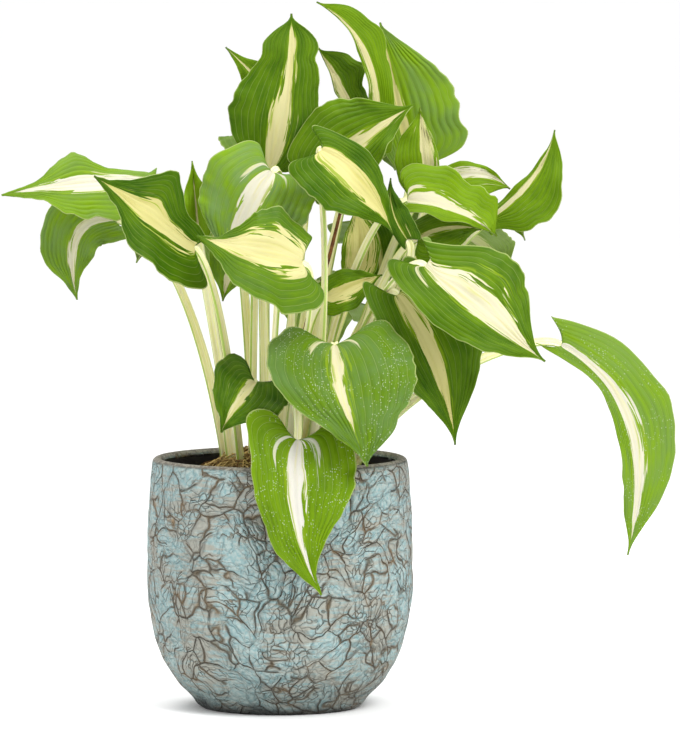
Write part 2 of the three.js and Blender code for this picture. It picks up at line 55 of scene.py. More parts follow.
class Shoot(Enum):
    """The clump's shoots, named by their side of the pot."""

    LEFT = "left"
    FRONT = "front"
    MIDDLE = "middle"
    RIGHT = "right"
    BACK = "back"


# ------------------------------------------------------------------ node helpers


class Signal:
    """A node's output, which Math nodes work on as Python works on a number."""

    def __init__(self, kit: "NodeKit", socket: bpy.types.NodeSocket) -> None:
        self.kit = kit
        self.socket = socket

    def output(self, name: str) -> "Signal":
        """Return another output of the same node."""
        return Signal(self.kit, self.socket.node.outputs[name])

    def __add__(self, other: object) -> "Signal":
        """Return the sum."""
        return self.kit.math("ADD", self, other)

    def __sub__(self, other: object) -> "Signal":
        """Return the difference."""
        return self.kit.math("SUBTRACT", self, other)

    def __rsub__(self, other: object) -> "Signal":
        """Return a number less this one."""
        return self.kit.math("SUBTRACT", other, self)

    def __mul__(self, other: object) -> "Signal":
        """Return the product."""
        return self.kit.math("MULTIPLY", self, other)

    def __truediv__(self, other: object) -> "Signal":
        """Return the quotient."""
        return self.kit.math("DIVIDE", self, other)

    def __abs__(self) -> "Signal":
        """Return the size, without its sign."""
        return self.kit.math("ABSOLUTE", self)


class NodeKit:
    """A new material's node tree, with short calls for the nodes that this plant uses."""

    def __init__(self, name: str, roughness: float, specular: float) -> None:
        """Start a material with one Principled shader.

        Args:
            name: The material's name.
            roughness: The roughness, set on the shader's own socket.
            specular: The specular level, set on the shader's own socket.
        """
        self.material = bpy.data.materials.new(name)
        self.material.use_nodes = True
        self.tree = self.material.node_tree
        self.shader = self.tree.nodes["Principled BSDF"]
        self.feed(self.shader, {"Roughness": roughness, "Specular IOR Level": specular})

    def feed(self, node: bpy.types.Node, inputs: dict) -> None:
        """Link signals to a node's sockets and set constants on the sockets themselves.

        Args:
            node: The node.
            inputs: Socket name or number to a constant or a signal.
        """
        for key, value in inputs.items():
            if isinstance(value, Signal):
                self.tree.links.new(value.socket, node.inputs[key])
            else:
                node.inputs[key].default_value = value

    def finish(self, colour: Signal, normal: Signal) -> bpy.types.Material:
        """Give the shader its colour and its bumped normal, and return the material."""
        self.feed(self.shader, {"Base Color": colour, "Normal": normal})
        return self.material

    def node(self, kind: str, inputs: dict, output: int | str = 0, **settings: object) -> Signal:
        """Add a node.

        Args:
            kind: The node's type name, without its prefix.
            inputs: Socket name or number to a constant or a signal.
            output: The name or number of the output wanted.
            settings: The node's own properties.

        Returns:
            The signal of that output.
        """
        node = self.tree.nodes.new("ShaderNode" + kind)
        for key, value in settings.items():
            setattr(node, key, value)
        self.feed(node, inputs)
        return Signal(self, node.outputs[output])

    def math(self, operation: str, a: object, b: object = 0.0, clamp: bool = False) -> Signal:
        """Return the result of a Math node."""
        return self.node("Math", {0: a, 1: b}, operation=operation, use_clamp=clamp)

    def smooth(self, value: object, low: object, high: float) -> Signal:
        """Return 0 below low, 1 above high and a smooth step between; low may be above high."""
        inputs = {"Value": value, "From Min": low, "From Max": high}
        return self.node("MapRange", inputs, interpolation_type="SMOOTHSTEP")

    def mix(self, factor: object, a: object, b: object, blend: str = "MIX") -> Signal:
        """Return a colour mixed from a to b."""
        return self.node("Mix", {0: factor, 6: a, 7: b}, 2, data_type="RGBA", blend_type=blend)

    def attribute(self, name: str) -> Signal:
        """Return a mesh attribute as a number."""
        return self.node("Attribute", {}, "Fac", attribute_name=name, attribute_type="GEOMETRY")

    def attributes(self, *names: str) -> list[Signal]:
        """Return several mesh attributes."""
        return [self.attribute(name) for name in names]

    def place(self, scale: tuple[float, float, float] = (1, 1, 1)) -> Signal:
        """Return Object coordinates, scaled."""
        coordinates = self.node("TexCoord", {}, "Object")
        return self.node("Mapping", {"Vector": coordinates, "Scale": scale})

    def vector(self, x: object, y: object, z: object) -> Signal:
        """Return a vector of three numbers."""
        return self.node("CombineXYZ", {0: x, 1: y, 2: z})

    def noise(self, vector: object, scale: float, detail: float = 3.0, roughness: float = 0.55) -> Signal:
        """Return a noise texture as a number about a half."""
        inputs = {"Vector": vector, "Scale": scale, "Detail": detail, "Roughness": roughness}
        return self.node("TexNoise", inputs)

    def spots(self, vector: object, scale: float, detail: float, low: float, high: float) -> Signal:
        """Return soft-edged spots: noise stepped smoothly from low to high."""
        return self.smooth(self.noise(vector, scale, detail), low, high)

    def cells(self, vector: object, scale: float, output: str, feature: str = "F1") -> Signal:
        """Return an output of a Voronoi texture."""
        return self.node("TexVoronoi", {"Vector": vector, "Scale": scale}, output, feature=feature)

    def number(self, colour: Signal) -> Signal:
        """Return a cell's random number: the first channel of its random colour."""
        return self.node("SeparateColor", {0: colour})

    def bump(self, height: object, distance: float, strength: float, after: Signal | None = None) -> Signal:
        """Return a bumped normal; after is a normal that it adds to."""
        inputs = {"Height": height, "Distance": distance, "Strength": strength}
        return self.node("Bump", inputs if after is None else inputs | {"Normal": after})


def rgb(red: int, green: int, blue: int) -> tuple[float, float, float, float]:
    """Work out the shader colour that shows as a display colour under the studio's light.

    Args:
        red: The display colour's red, 0 to 255.
        green: Its green.
        blue: Its blue.

    Returns:
        The linear colour, opaque.
    """
    def linear(channel: int) -> float:
        """Return one channel in linear light."""
        level = channel / 255
        return (level / 12.92 if level <= 0.04045 else ((level + 0.055) / 1.055) ** 2.4) / STUDIO_LIGHT
    return (linear(red), linear(green), linear(blue), 1.0)


# ---------------------------------------------------------------------- finishes


@dataclass(frozen=True)
class BladeFinish:
    """The variegated blade: a cream flame on the midrib, a lime fringe and a green ground."""

    white: tuple = rgb(252, 249, 236)
    cream: tuple = rgb(248, 239, 152)
    butter: tuple = rgb(220, 212, 108)
    lime: tuple = rgb(156, 188, 28)
    fresh: tuple = rgb(136, 178, 14)
    deep: tuple = rgb(60, 104, 2)
    bluish: tuple = rgb(132, 168, 98)
    margin: tuple = rgb(206, 222, 136)
    underside: tuple = rgb(160, 188, 100)
    dew_glint: tuple = rgb(236, 244, 214)
    veins: int = 8
    flame_edge: float = 0.018
    fringe_width: float = 0.06
    specks_per_metre: float = 780.0
    vein_relief: float = 0.0003
    quilt_relief: float = 0.0004

    def build(self) -> bpy.types.Material:
        """Build the material.

        The mesh carries the blade's own coordinates (along, across) and its cream,
        hook, milk, tone, bloom, dew, seed and under attributes, so one finish serves every leaf.

        Returns:
            The blades' material.
        """
        kit = NodeKit("hosta_blade", roughness=0.48, specular=0.08)
        kit.feed(kit.shader, {"Subsurface Weight": 0.06, "Subsurface Radius": (0.002, 0.004, 0.001)})
        along, across, tone, seed, reach = kit.attributes("along", "across", "tone", "seed", "cream")
        side = abs(across)

        # streaks run with the veins: long along the blade and narrow across it
        drift = kit.noise(kit.vector(along * 2.4, across, seed), 1.6, 2)
        lane = across + (drift - 0.5) * 0.12

        def streaks(lanes: float, runs: float, detail: float) -> Signal:
            """Return noise of so many lanes across half a blade and runs along it."""
            return kit.noise(kit.vector(lane * lanes, along * runs, seed), 1.0, detail)

        broad, fine, hair = streaks(5, 1.6, 2), streaks(15, 2.2, 3), streaks(44, 3.0, 2)
        splinter = kit.number(kit.cells(kit.vector(lane * 17, along * 5.5, seed), 1.0, "Color"))
        ragged = broad - 0.5 + (fine - 0.5) * 1.3 + (splinter - 0.5) * 0.62
        edge = reach + ragged * (reach * 0.9 + 0.03) - side
        flame = kit.smooth(edge, 0.0, self.flame_edge)
        fringe = kit.smooth(edge + (hair - 0.5) * 0.22, -self.fringe_width, 0.0)
        sliver = kit.smooth(fine, 0.6, 0.64) * kit.smooth(side / reach, 0.3, 0.8)
        stray = kit.attribute("hook") - abs(side - (broad * 0.25 + 0.29)) + (fine - 0.6) * 0.3
        stray = kit.smooth(stray, 0.0, 0.03) * 0.8

        # green ground: deeper in the body, fresher towards the margin and by the leaf's tone, which is partly
        # the leaf's own green and, on leaves deep in the clump, painted shade
        patch = kit.noise(kit.vector(across * 2.6, along * 3.4, seed), 1.4, 4, 0.6)
        depth = kit.math("ADD", (patch - 0.5) * 1.1, tone, clamp=True)
        green = kit.mix(depth, self.fresh, self.deep)
        green = kit.mix(kit.attribute("bloom") * kit.smooth(patch, 0.3, 0.7), green, self.bluish)
        green = kit.mix(kit.smooth(hair, 0.5, 0.7) * 0.16, green, self.lime)
        ridge = kit.math("PINGPONG", side, 0.5 / self.veins) * (2 * self.veins)
        inner = kit.smooth(side, 0.98, 0.86)
        # painted shade: the green darkens beside the veins, for the shade in their sunken lines
        green = kit.mix(kit.smooth(ridge, 0.5, 0.1) * inner * 0.12, green, self.deep)
        green = kit.mix(kit.smooth(ridge, 0.13, 0.02) * inner * 0.24, green, self.margin)

        pale = kit.mix(kit.smooth(broad * 0.8 + along * 0.2, 0.4, 0.75), self.cream, self.butter)
        milky = kit.mix(kit.smooth(fine, 0.45, 0.7) * 0.5, self.white, self.cream)
        pale = kit.mix(kit.attribute("milk"), pale, milky)
        colour = kit.mix(fringe * 0.7, green, self.lime)
        colour = kit.mix(kit.math("MAXIMUM", flame, stray), colour, pale)
        colour = kit.mix(sliver * flame * 0.8, colour, self.lime)
        colour = kit.mix(kit.smooth(side + hair * 0.02, 0.985, 1.0) * 0.7, colour, self.margin)

        # painted highlights: glints of dew drops, as pale specks on the leaves that have them
        place = kit.place()
        specks = kit.cells(place, self.specks_per_metre, "Distance")
        chosen = kit.math("GREATER_THAN", kit.number(specks.output("Color")), 0.5)
        clustered = kit.attribute("dew") * kit.spots(place, 60, 2, 0.44, 0.56)
        dot = kit.smooth(specks, 0.36, 0.14) * chosen * clustered
        colour = kit.mix(dot * 0.6, colour, self.dew_glint)
        colour = kit.mix(kit.attribute("under") * 0.5, colour, self.underside)

        quilt = kit.noise(kit.vector(across * 18, along * 22, seed), 1.0, 3)
        normal = kit.bump(kit.math("SQRT", ridge) * (1.0 - flame * 0.7), self.vein_relief, 0.35)
        return kit.finish(colour, kit.bump(quilt + hair * 0.3, self.quilt_relief, 0.5, after=normal))


@dataclass(frozen=True)
class PetioleFinish:
    """The pale petiole: cream with green edges, greener towards the blade."""

    cream: tuple = rgb(255, 251, 208)
    pale: tuple = rgb(243, 240, 160)
    green: tuple = rgb(156, 186, 60)
    painted_light_gain: float = 1.5
    groove_relief: float = 0.0004

    def build(self) -> bpy.types.Material:
        """Build the material, from the along, edge and seed attributes.

        Returns:
            The petioles' material.
        """
        kit = NodeKit("hosta_petiole", roughness=0.4, specular=0.2)
        kit.feed(kit.shader, {"Subsurface Weight": 0.25, "Subsurface Radius": (0.003, 0.004, 0.001)})
        along, edge, seed = kit.attributes("along", "edge", "seed")
        streak = kit.noise(kit.vector(edge * 5, along * 3.5, seed), 1.0, 3)
        colour = kit.mix(kit.smooth(streak, 0.44, 0.66), self.cream, self.pale)
        colour = kit.mix(kit.smooth(abs(edge) + streak * 0.3, 0.92, 1.12) * 0.9, colour, self.green)
        colour = kit.mix(kit.smooth(along + streak * 0.5, 1.0, 1.4) * 0.35, colour, self.green)
        # painted light: the colour is brightened half as much again, to lift the shade that the leaves above
        # cast on the stalks
        colour = kit.mix(1.0, colour, (self.painted_light_gain, self.painted_light_gain, self.painted_light_gain, 1), "MULTIPLY")
        groove = kit.noise(kit.vector(edge * 14, along, seed), 1.0, 2)
        return kit.finish(colour, kit.bump(groove, self.groove_relief, 0.5))


@dataclass(frozen=True)
class CrackleFinish:
    """The pot: crumpled plates brushed blue over grey-brown clay, with rusty creases between them."""

    blue: tuple = rgb(157, 195, 198)
    pale_blue: tuple = rgb(202, 221, 217)
    clay: tuple = rgb(170, 166, 151)
    crease: tuple = rgb(104, 91, 66)
    rust: tuple = rgb(176, 136, 78)
    dust: tuple = rgb(200, 199, 186)
    lip: tuple = rgb(122, 114, 102)
    low_darkening: tuple = rgb(104, 104, 92)
    foot: tuple = rgb(52, 46, 42)
    inside: tuple = rgb(26, 18, 15)
    plate: float = 0.0145
    wrinkle: float = 0.0062
    crease_width: float = 0.018
    crease_opening: float = 0.055
    brush_stretch: tuple = (0.6, 0.6, 5)
    foot_height: float = 0.007
    low_darkening_height: float = 0.034
    crease_relief: float = 0.0022
    grain_relief: float = 0.0005

    def build(self) -> bpy.types.Material:
        """Build the material, from Object coordinates and the lip and inside attributes.

        Returns:
            The pot's material.
        """
        kit = NodeKit("crackled_ceramic", roughness=0.66, specular=0.3)
        place = kit.place()
        half = (0.5, 0.5, 0.5)

        def swayed(size: float, amount: float, start: Signal) -> Signal:
            """Push coordinates about.

            Args:
                size: The size of the noise that pushes them, in metres.
                amount: How far it can push them, in metres.
                start: The coordinates.

            Returns:
                The coordinates after the push.
            """
            push = kit.node("TexNoise", {"Vector": place, "Scale": 1 / size, "Detail": 1.0}, "Color")
            centred = kit.node("VectorMath", {0: push, 1: half}, operation="SUBTRACT")
            return kit.node("VectorMath", {0: centred, 1: (amount,) * 3, 2: start}, operation="MULTIPLY_ADD")

        flowing = swayed(0.011, 0.008, swayed(0.036, 0.036, place))
        wavering = swayed(0.006, 0.006, flowing)

        # distances to the nearest border, in plates, and the slant of each plate
        main = kit.cells(flowing, 1 / self.plate, "Distance", "DISTANCE_TO_EDGE")
        minor = kit.cells(wavering, 1 / self.wrinkle, "Distance", "DISTANCE_TO_EDGE")
        plates = kit.cells(flowing, 1 / self.plate, "Color")
        offset = kit.node("VectorMath", {0: flowing, 1: plates.output("Position")}, operation="SUBTRACT")
        lean = kit.node("VectorMath", {0: plates, 1: half}, operation="SUBTRACT")
        tilt = kit.node("VectorMath", {0: offset, 1: lean}, "Value", operation="DOT_PRODUCT")

        # creases open and close along their run, and some are missing
        cloud = kit.noise(place, 30, 3)
        grain = kit.noise(place, 420, 4, 0.65)
        brushed = kit.noise(kit.place(self.brush_stretch), 95, 5, 0.7)
        opening = kit.spots(place, 52, 2, 0.3, 0.62) * self.crease_opening + self.crease_width
        present = kit.spots(place, 58, 1, 0.38, 0.46)
        deep = kit.smooth(main, opening, 0.0) * present
        shallow = kit.smooth(minor, 0.06, 0.0) * kit.spots(place, 44, 2, 0.47, 0.6)
        crease = kit.math("MAXIMUM", deep, shallow * 0.75)

        # blue brushed over clay, worn away in streaks and beside the creases
        paint = kit.mix(kit.smooth(grain, 0.35, 0.65), self.blue, self.pale_blue)
        worn = cloud * 0.8 + kit.number(plates) * 0.08 + brushed * 1.1 + kit.smooth(main, 0.3, 0.0) * 0.08
        bare = kit.mix(brushed, self.clay, self.dust)
        colour = kit.mix(kit.smooth(worn, 0.95, 1.17) * 0.9, paint, bare)
        halo = kit.smooth(main, 0.07, 0.01) * kit.spots(place, 60, 3, 0.5, 0.68)
        colour = kit.mix(halo * 0.5, colour, self.rust)
        rusty = kit.mix(kit.spots(place, 75, 3, 0.42, 0.66), self.crease, self.rust)
        colour = kit.mix(crease * 0.74, colour, rusty)
        colour = kit.mix(kit.smooth(crease, 0.6, 0.95) * 0.35, colour, self.crease)
        colour = kit.mix(kit.spots(place, 560, 2, 0.7, 0.76) * 0.55, colour, self.crease)
        lip, inside = kit.attributes("lip", "inside")
        colour = kit.mix(lip, colour, kit.mix(kit.smooth(grain, 0.4, 0.6), self.lip, self.clay))
        # darker towards the bottom of the wall
        low = kit.node("SeparateXYZ", {0: place}, "Z") + (cloud - 0.5) * 0.02
        colour = kit.mix(kit.smooth(low, self.low_darkening_height, 0.006) * 0.35, colour, self.low_darkening)
        colour = kit.mix(kit.smooth(low, self.foot_height, 0.0) * 0.85, colour, self.foot)
        colour = kit.mix(inside, colour, self.inside)

        dome = kit.math("SQRT", kit.math("MINIMUM", main * 3.2, 1.0)) * (present * 0.7 + 0.3)
        folds = kit.math("SQRT", kit.math("MINIMUM", minor * 3.0, 1.0)) * 0.55
        height = dome + tilt * 320.0 - crease * 0.7 + kit.noise(flowing, 150, 2) * 1.1 + folds
        plain = 1.0 - kit.math("MAXIMUM", lip, inside)
        normal = kit.bump(height * plain, self.crease_relief, 1.0)
        return kit.finish(colour, kit.bump(grain + brushed, self.grain_relief, 0.5, after=normal))


@dataclass(frozen=True)
class LitterFinish:
    """Soil, fibre or dry stalk: two colours mottled by noise, with a bump."""

    name: str
    light: tuple
    dark: tuple
    scale: float = 300.0
    by_strand: bool = False
    relief: float = 0.0008

    def build(self) -> bpy.types.Material:
        """Build the material, from Object coordinates and, for fibre, each strand's own tone.

        Returns:
            The mottled material.
        """
        kit = NodeKit(self.name, roughness=0.88, specular=0.2)
        place = kit.place()
        mottle = kit.noise(place, self.scale, 4, 0.6)
        shade = mottle * 0.7 + kit.noise(place, self.scale / 6, 2) * 0.5
        # for fibre, painted shade: the mound under the strands has no strand value and comes out dark, for
        # the shade in the gaps between them; each strand's own value sets its tone
        if self.by_strand:
            shade = shade * 0.4 + kit.attribute("strand") * 0.55
        colour = kit.mix(kit.smooth(shade, 0.42, 0.8), self.dark, self.light)
        return kit.finish(colour, kit.bump(mottle, self.relief, 0.8))


@dataclass(frozen=True)
class StudioFinish:
    """The floor: plain, pale and matt."""

    light: float = 0.955
    dark: float = 0.945

    def build(self) -> bpy.types.Material:
        """Build the material.

        Returns:
            The floor's material.
        """
        kit = NodeKit("studio_floor", roughness=0.9, specular=0.1)
        mottle = kit.noise(kit.place(), 3.0, 1)
        kit.feed(kit.shader, {"Base Color": kit.mix(mottle, (*[self.dark] * 3, 1), (*[self.light] * 3, 1))})
        return kit.material


# ------------------------------------------------------------------ mesh helpers

Point = tuple[float, float, float]
Stations = tuple[float, float, float, float, float]
EVEN: Stations = (1, 1, 1, 1, 1)
LEVEL: Stations = (0, 0, 0, 0, 0)


def fade(value: np.ndarray, low: float, high: float) -> np.ndarray:
    """Return a smooth step of value, 0 at low and 1 at high; low may be above high."""
    t = np.clip((value - low) / (high - low), 0, 1)
    return t * t * (3 - 2 * t)


def unit(vector: np.ndarray) -> np.ndarray:
    """Return vectors of length 1 along the last axis."""
    return vector / np.linalg.norm(vector, axis=-1, keepdims=True)


def around(count: int) -> np.ndarray:
    """Return so many angles, evenly once round."""
    return np.linspace(0, TURN, count, endpoint=False)


def noise_field(points: np.ndarray, scale: float, seed: float = 0.0, octaves: int = 1) -> np.ndarray:
    """Read smooth noise of about -1 to 1.

    Args:
        points: Points, one a row, in millimetres.
        scale: Size of a lump, in millimetres.
        seed: Offset that picks another field.
        octaves: Layers, each half as coarse and half as strong as the last.

    Returns:
        One number a point.
    """
    shift = Vector((seed, seed * 1.7, -seed))
    total = np.zeros(len(points))
    for octave in range(octaves):
        step = 2 ** octave
        total += [noise.noise(Vector(p) * (step / scale) + shift) / step for p in points]
    return total


def hermite(knots: np.ndarray, slopes: np.ndarray, i: np.ndarray, u: np.ndarray,
            gap: float | np.ndarray = 1.0) -> np.ndarray:
    """Lay a smooth curve through knots.

    Args:
        knots: The points that it passes.
        slopes: The curve's slope at each.
        i: The knot before each wanted point.
        u: How far on to the next, 0 to 1.
        gap: The distance from that knot to the next, in the slopes' measure.

    Returns:
        The wanted points.
    """
    return ((2 * u ** 3 - 3 * u ** 2 + 1) * knots[i] + (u ** 3 - 2 * u ** 2 + u) * gap * slopes[i]
            + (-2 * u ** 3 + 3 * u ** 2) * knots[i + 1] + (u ** 3 - u ** 2) * gap * slopes[i + 1])


def tube_rings(path: np.ndarray, beside: np.ndarray, above: np.ndarray, reach: tuple) -> np.ndarray:
    """Lay a tube's rings round a path.

    Args:
        path: The points that it runs through.
        beside: The way to one side at each point.
        above: The way up at each point.
        reach: How far each corner of each ring stands to the side, and how far up.

    Returns:
        The corners' places, by ring and corner.
    """
    return path[:, None] + beside[:, None] * reach[0][..., None] + above[:, None] * reach[1][..., None]


def mark(bm: bmesh.types.BMesh, **values: np.ndarray) -> None:
    """Write number attributes of a mesh.

    Args:
        bm: The mesh.
        values: One number a vertex, for each named attribute.
    """
    for name, numbers in values.items():
        layer = bm.verts.layers.float.new(name)
        for vert, number in zip(bm.verts, numbers):
            vert[layer] = number


@dataclass
class Grid:
    """A bmesh grid whose vertices know their row and column, ready to be mapped."""

    bm: bmesh.types.BMesh
    columns: int
    rows: int

    def __post_init__(self) -> None:
        """Create the grid and read each vertex's column and row."""
        self.first = len(self.bm.verts)
        bmesh.ops.create_grid(self.bm, x_segments=self.columns, y_segments=self.rows, size=1)
        place = np.array([v.co[:2] for v in self.verts()])
        self.column = np.rint((place[:, 0] + 1) / 2 * self.columns).astype(int)
        self.row = np.rint((place[:, 1] + 1) / 2 * self.rows).astype(int)

    def verts(self) -> list[bmesh.types.BMVert]:
        """Return the grid's own vertices, which are the mesh's last when it is made."""
        self.bm.verts.ensure_lookup_table()
        return self.bm.verts[self.first:self.first + (self.columns + 1) * (self.rows + 1)]

    def map(self, rings: np.ndarray) -> None:
        """Move each vertex to rings[row, column modulo the ring's own length]."""
        for vert, i, j in zip(self.verts(), self.row, self.column):
            vert.co = rings[i, j % rings.shape[1]]

    def paint(self, name: str, values: np.ndarray) -> None:
        """Write a number attribute of the mesh.

        Args:
            name: The attribute's name.
            values: Its values, by row and by column modulo the row's own length.
        """
        layer = self.bm.verts.layers.float.get(name) or self.bm.verts.layers.float.new(name)
        for vert, i, j in zip(self.verts(), self.row, self.column):
            vert[layer] = values[i, j % values.shape[1]]


def close_mesh(bm: bmesh.types.BMesh) -> None:
    """Cap a mesh's openings and turn its faces outwards."""
    bmesh.ops.holes_fill(bm, edges=[e for e in bm.edges if e.is_boundary], sides=0)
    bmesh.ops.recalc_face_normals(bm, faces=bm.faces)


def close_tubes(bm: bmesh.types.BMesh) -> None:
    """Merge the seams of mapped tubes and close them."""
    bmesh.ops.remove_doubles(bm, verts=bm.verts, dist=1e-5)
    close_mesh(bm)


def publish(bm: bmesh.types.BMesh, name: str, material: bpy.types.Material, slot: str, *nodes: str) -> None:
    """Turn a finished bmesh, in millimetres, into a piece of the plant.

    Args:
        bm: The mesh, which is freed.
        name: The piece's name.
        material: Its finish.
        slot: A material slot's name; not used.
        nodes: The solids that it stands for.
    """
    bmesh.ops.scale(bm, vec=(MM, MM, MM), verts=bm.verts)
    piece = place_mesh(bm, name, material)
    piece.data.shade_smooth()
    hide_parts(*nodes)
    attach(piece, "root")
    LOG.info("%s: %d faces", name, len(piece.data.polygons))


def place_mesh(bm: bmesh.types.BMesh, name: str, material: bpy.types.Material) -> bpy.types.Object:
    """Put a bmesh, in metres, into the scene.

    Args:
        bm: The mesh, which is freed.
        name: The object's name.
        material: Its finish.

    Returns:
        The object, at the origin.
    """
    mesh = bpy.data.meshes.new(name)
    bm.to_mesh(mesh)
    bm.free()
    mesh.materials.append(material)
    piece = bpy.data.objects.new(name, mesh)
    bpy.context.scene.collection.objects.link(piece)
    return piece


def carried_frame(points: np.ndarray, tangents: np.ndarray, start: int, normal: np.ndarray) -> np.ndarray:
    """Carry one known normal along a curve without spin.

    Args:
        points: The curve's points.
        tangents: Its unit tangents.
        start: The station of the known normal.
        normal: The known normal.

    Returns:
        A normal at each point.
    """
    carried = np.zeros_like(points)
    carried[start] = normal

    def step(i: int, j: int) -> None:
        """Reflect a known normal twice to get the next.

        Args:
            i: The station of the known normal.
            j: The station beside it.
        """
        chord = points[j] - points[i]
        length = chord @ chord
        side = carried[i] - 2 / length * (chord @ carried[i]) * chord
        turn = tangents[j] - (tangents[i] - 2 / length * (chord @ tangents[i]) * chord)
        size = turn @ turn
        carried[j] = side if size < 1e-12 else side - 2 / size * (turn @ side) * turn

    for i in range(start, len(points) - 1):
        step(i, i + 1)
    for i in range(start, 0, -1):
        step(i, i - 1)
    return carried


# ------------------------------------------------------------------------ leaves


@dataclass(frozen=True)
class LeafShape:
    """One leaf: where its blade lies, how it folds, and how it is marked.

    base, bend and tip are the midrib's Bezier points and face is the way its upper
    side looks. left and right are half widths; seen from above with the tip ahead,
    left is on the left. root is the petiole's foot on the soil; via is a point that
    the petiole bows towards, rise how far it climbs before it bends, and turn how far
    it runs along the blade's own heading. fold is the angle of each half. The edge
    values widen or narrow a half, and the lift values raise its margin, at five
    stations. cream is how far the flame reaches on each half, taper how much less at
    the tip, and reach where it ends; hook is the arc of cream round the base. milk
    whitens the cream, tone deepens the green, bloom greys it, and dew gives specks.
    """

    shoot: Shoot
    base: Point
    bend: Point
    tip: Point
    face: Point
    left: float
    right: float
    root: tuple[float, float]
    fold: tuple[float, float] = (12, 12)
    heart: float = 0.22
    via: Point | None = None
    rise: float = 0.4
    turn: float = 0.14
    edge_left: Stations = EVEN
    edge_right: Stations = EVEN
    lift_left: Stations = LEVEL
    lift_right: Stations = LEVEL
    cream: tuple[float, float] = (0.26, 0.26)
    taper: float = 0.35
    reach: float = 1.02
    hook: float = 0.0
    milk: float = 0.3
    # tone is partly the leaf's own green and, on leaves deep in the clump, painted shade
    tone: float = 0.5
    bloom: float = 0.0
    # dew sets how many painted dew highlights a leaf carries
    dew: float = 0.0


def at_stations(values: Stations, ends: float, s: np.ndarray) -> np.ndarray:
    """Read a smooth row of values at five stations, with ends before and after.

    Args:
        values: The values at 0.1, 0.3, 0.5, 0.7 and 0.9 of the length.
        ends: The value at the base and at the tip.
        s: Places along the blade, 0 to 1.

    Returns:
        The value at each place.
    """
    stations = np.array([0, 0.1, 0.3, 0.5, 0.7, 0.9, 1])
    row = np.array([ends, *values, ends], float)
    k = np.clip(np.searchsorted(stations, s, side="right") - 1, 0, 5)
    return row[k] + (row[k + 1] - row[k]) * fade(s, stations[k], stations[k + 1])


def by_side(v: np.ndarray, left: object, right: object) -> np.ndarray:
    """Return the left half's value where v is negative, and the right half's elsewhere."""
    return np.where(v < 0, left, right)


def arch(s: np.ndarray, power: float) -> np.ndarray:
    """Return 0 at both ends and 1 midway, broader for a lower power."""
    return np.sin(np.pi * np.clip(s, 0, 1)) ** power


class Midrib:
    """The frame along a blade's midrib."""

    def __init__(self, shape: LeafShape, stations: int = 40) -> None:
        """Work out the frame from the leaf's Bezier points.

        Args:
            shape: The leaf.
            stations: The number of steps along its midrib.
        """
        base, bend, tip, face = (np.array(p, float) for p in (shape.base, shape.bend, shape.tip, shape.face))
        self.stations = stations
        t = np.linspace(0, 1, stations + 1)[:, None]
        self.points = (1 - t) ** 2 * base + 2 * t * (1 - t) * bend + t ** 2 * tip
        self.tangents = unit((1 - t) * (bend - base) + t * (tip - bend))
        middle = stations // 2
        axis = self.tangents[middle]
        self.normals = carried_frame(self.points, self.tangents, middle, unit(face - (face @ axis) * axis))
        self.sides = np.cross(self.tangents, self.normals)
        steps = np.linalg.norm(np.diff(self.points, axis=0), axis=1)
        self.reach = np.concatenate([[0], np.cumsum(steps)])

    def at(self, along: np.ndarray) -> list[np.ndarray]:
        """Read the frame between its stations.

        Args:
            along: Distances along the midrib, in millimetres.

        Returns:
            Point, tangent, normal and side at each.
        """
        station = np.interp(np.clip(along, 0, self.reach[-1]), self.reach, np.arange(self.stations + 1))
        i = np.clip(station.astype(int), 0, self.stations - 1)
        f = (station - i)[..., None]
        kinds = (self.points, self.tangents, self.normals, self.sides)
        found = [kind[i] * (1 - f) + kind[i + 1] * f for kind in kinds]
        return [found[0], *(unit(kind) for kind in found[1:])]


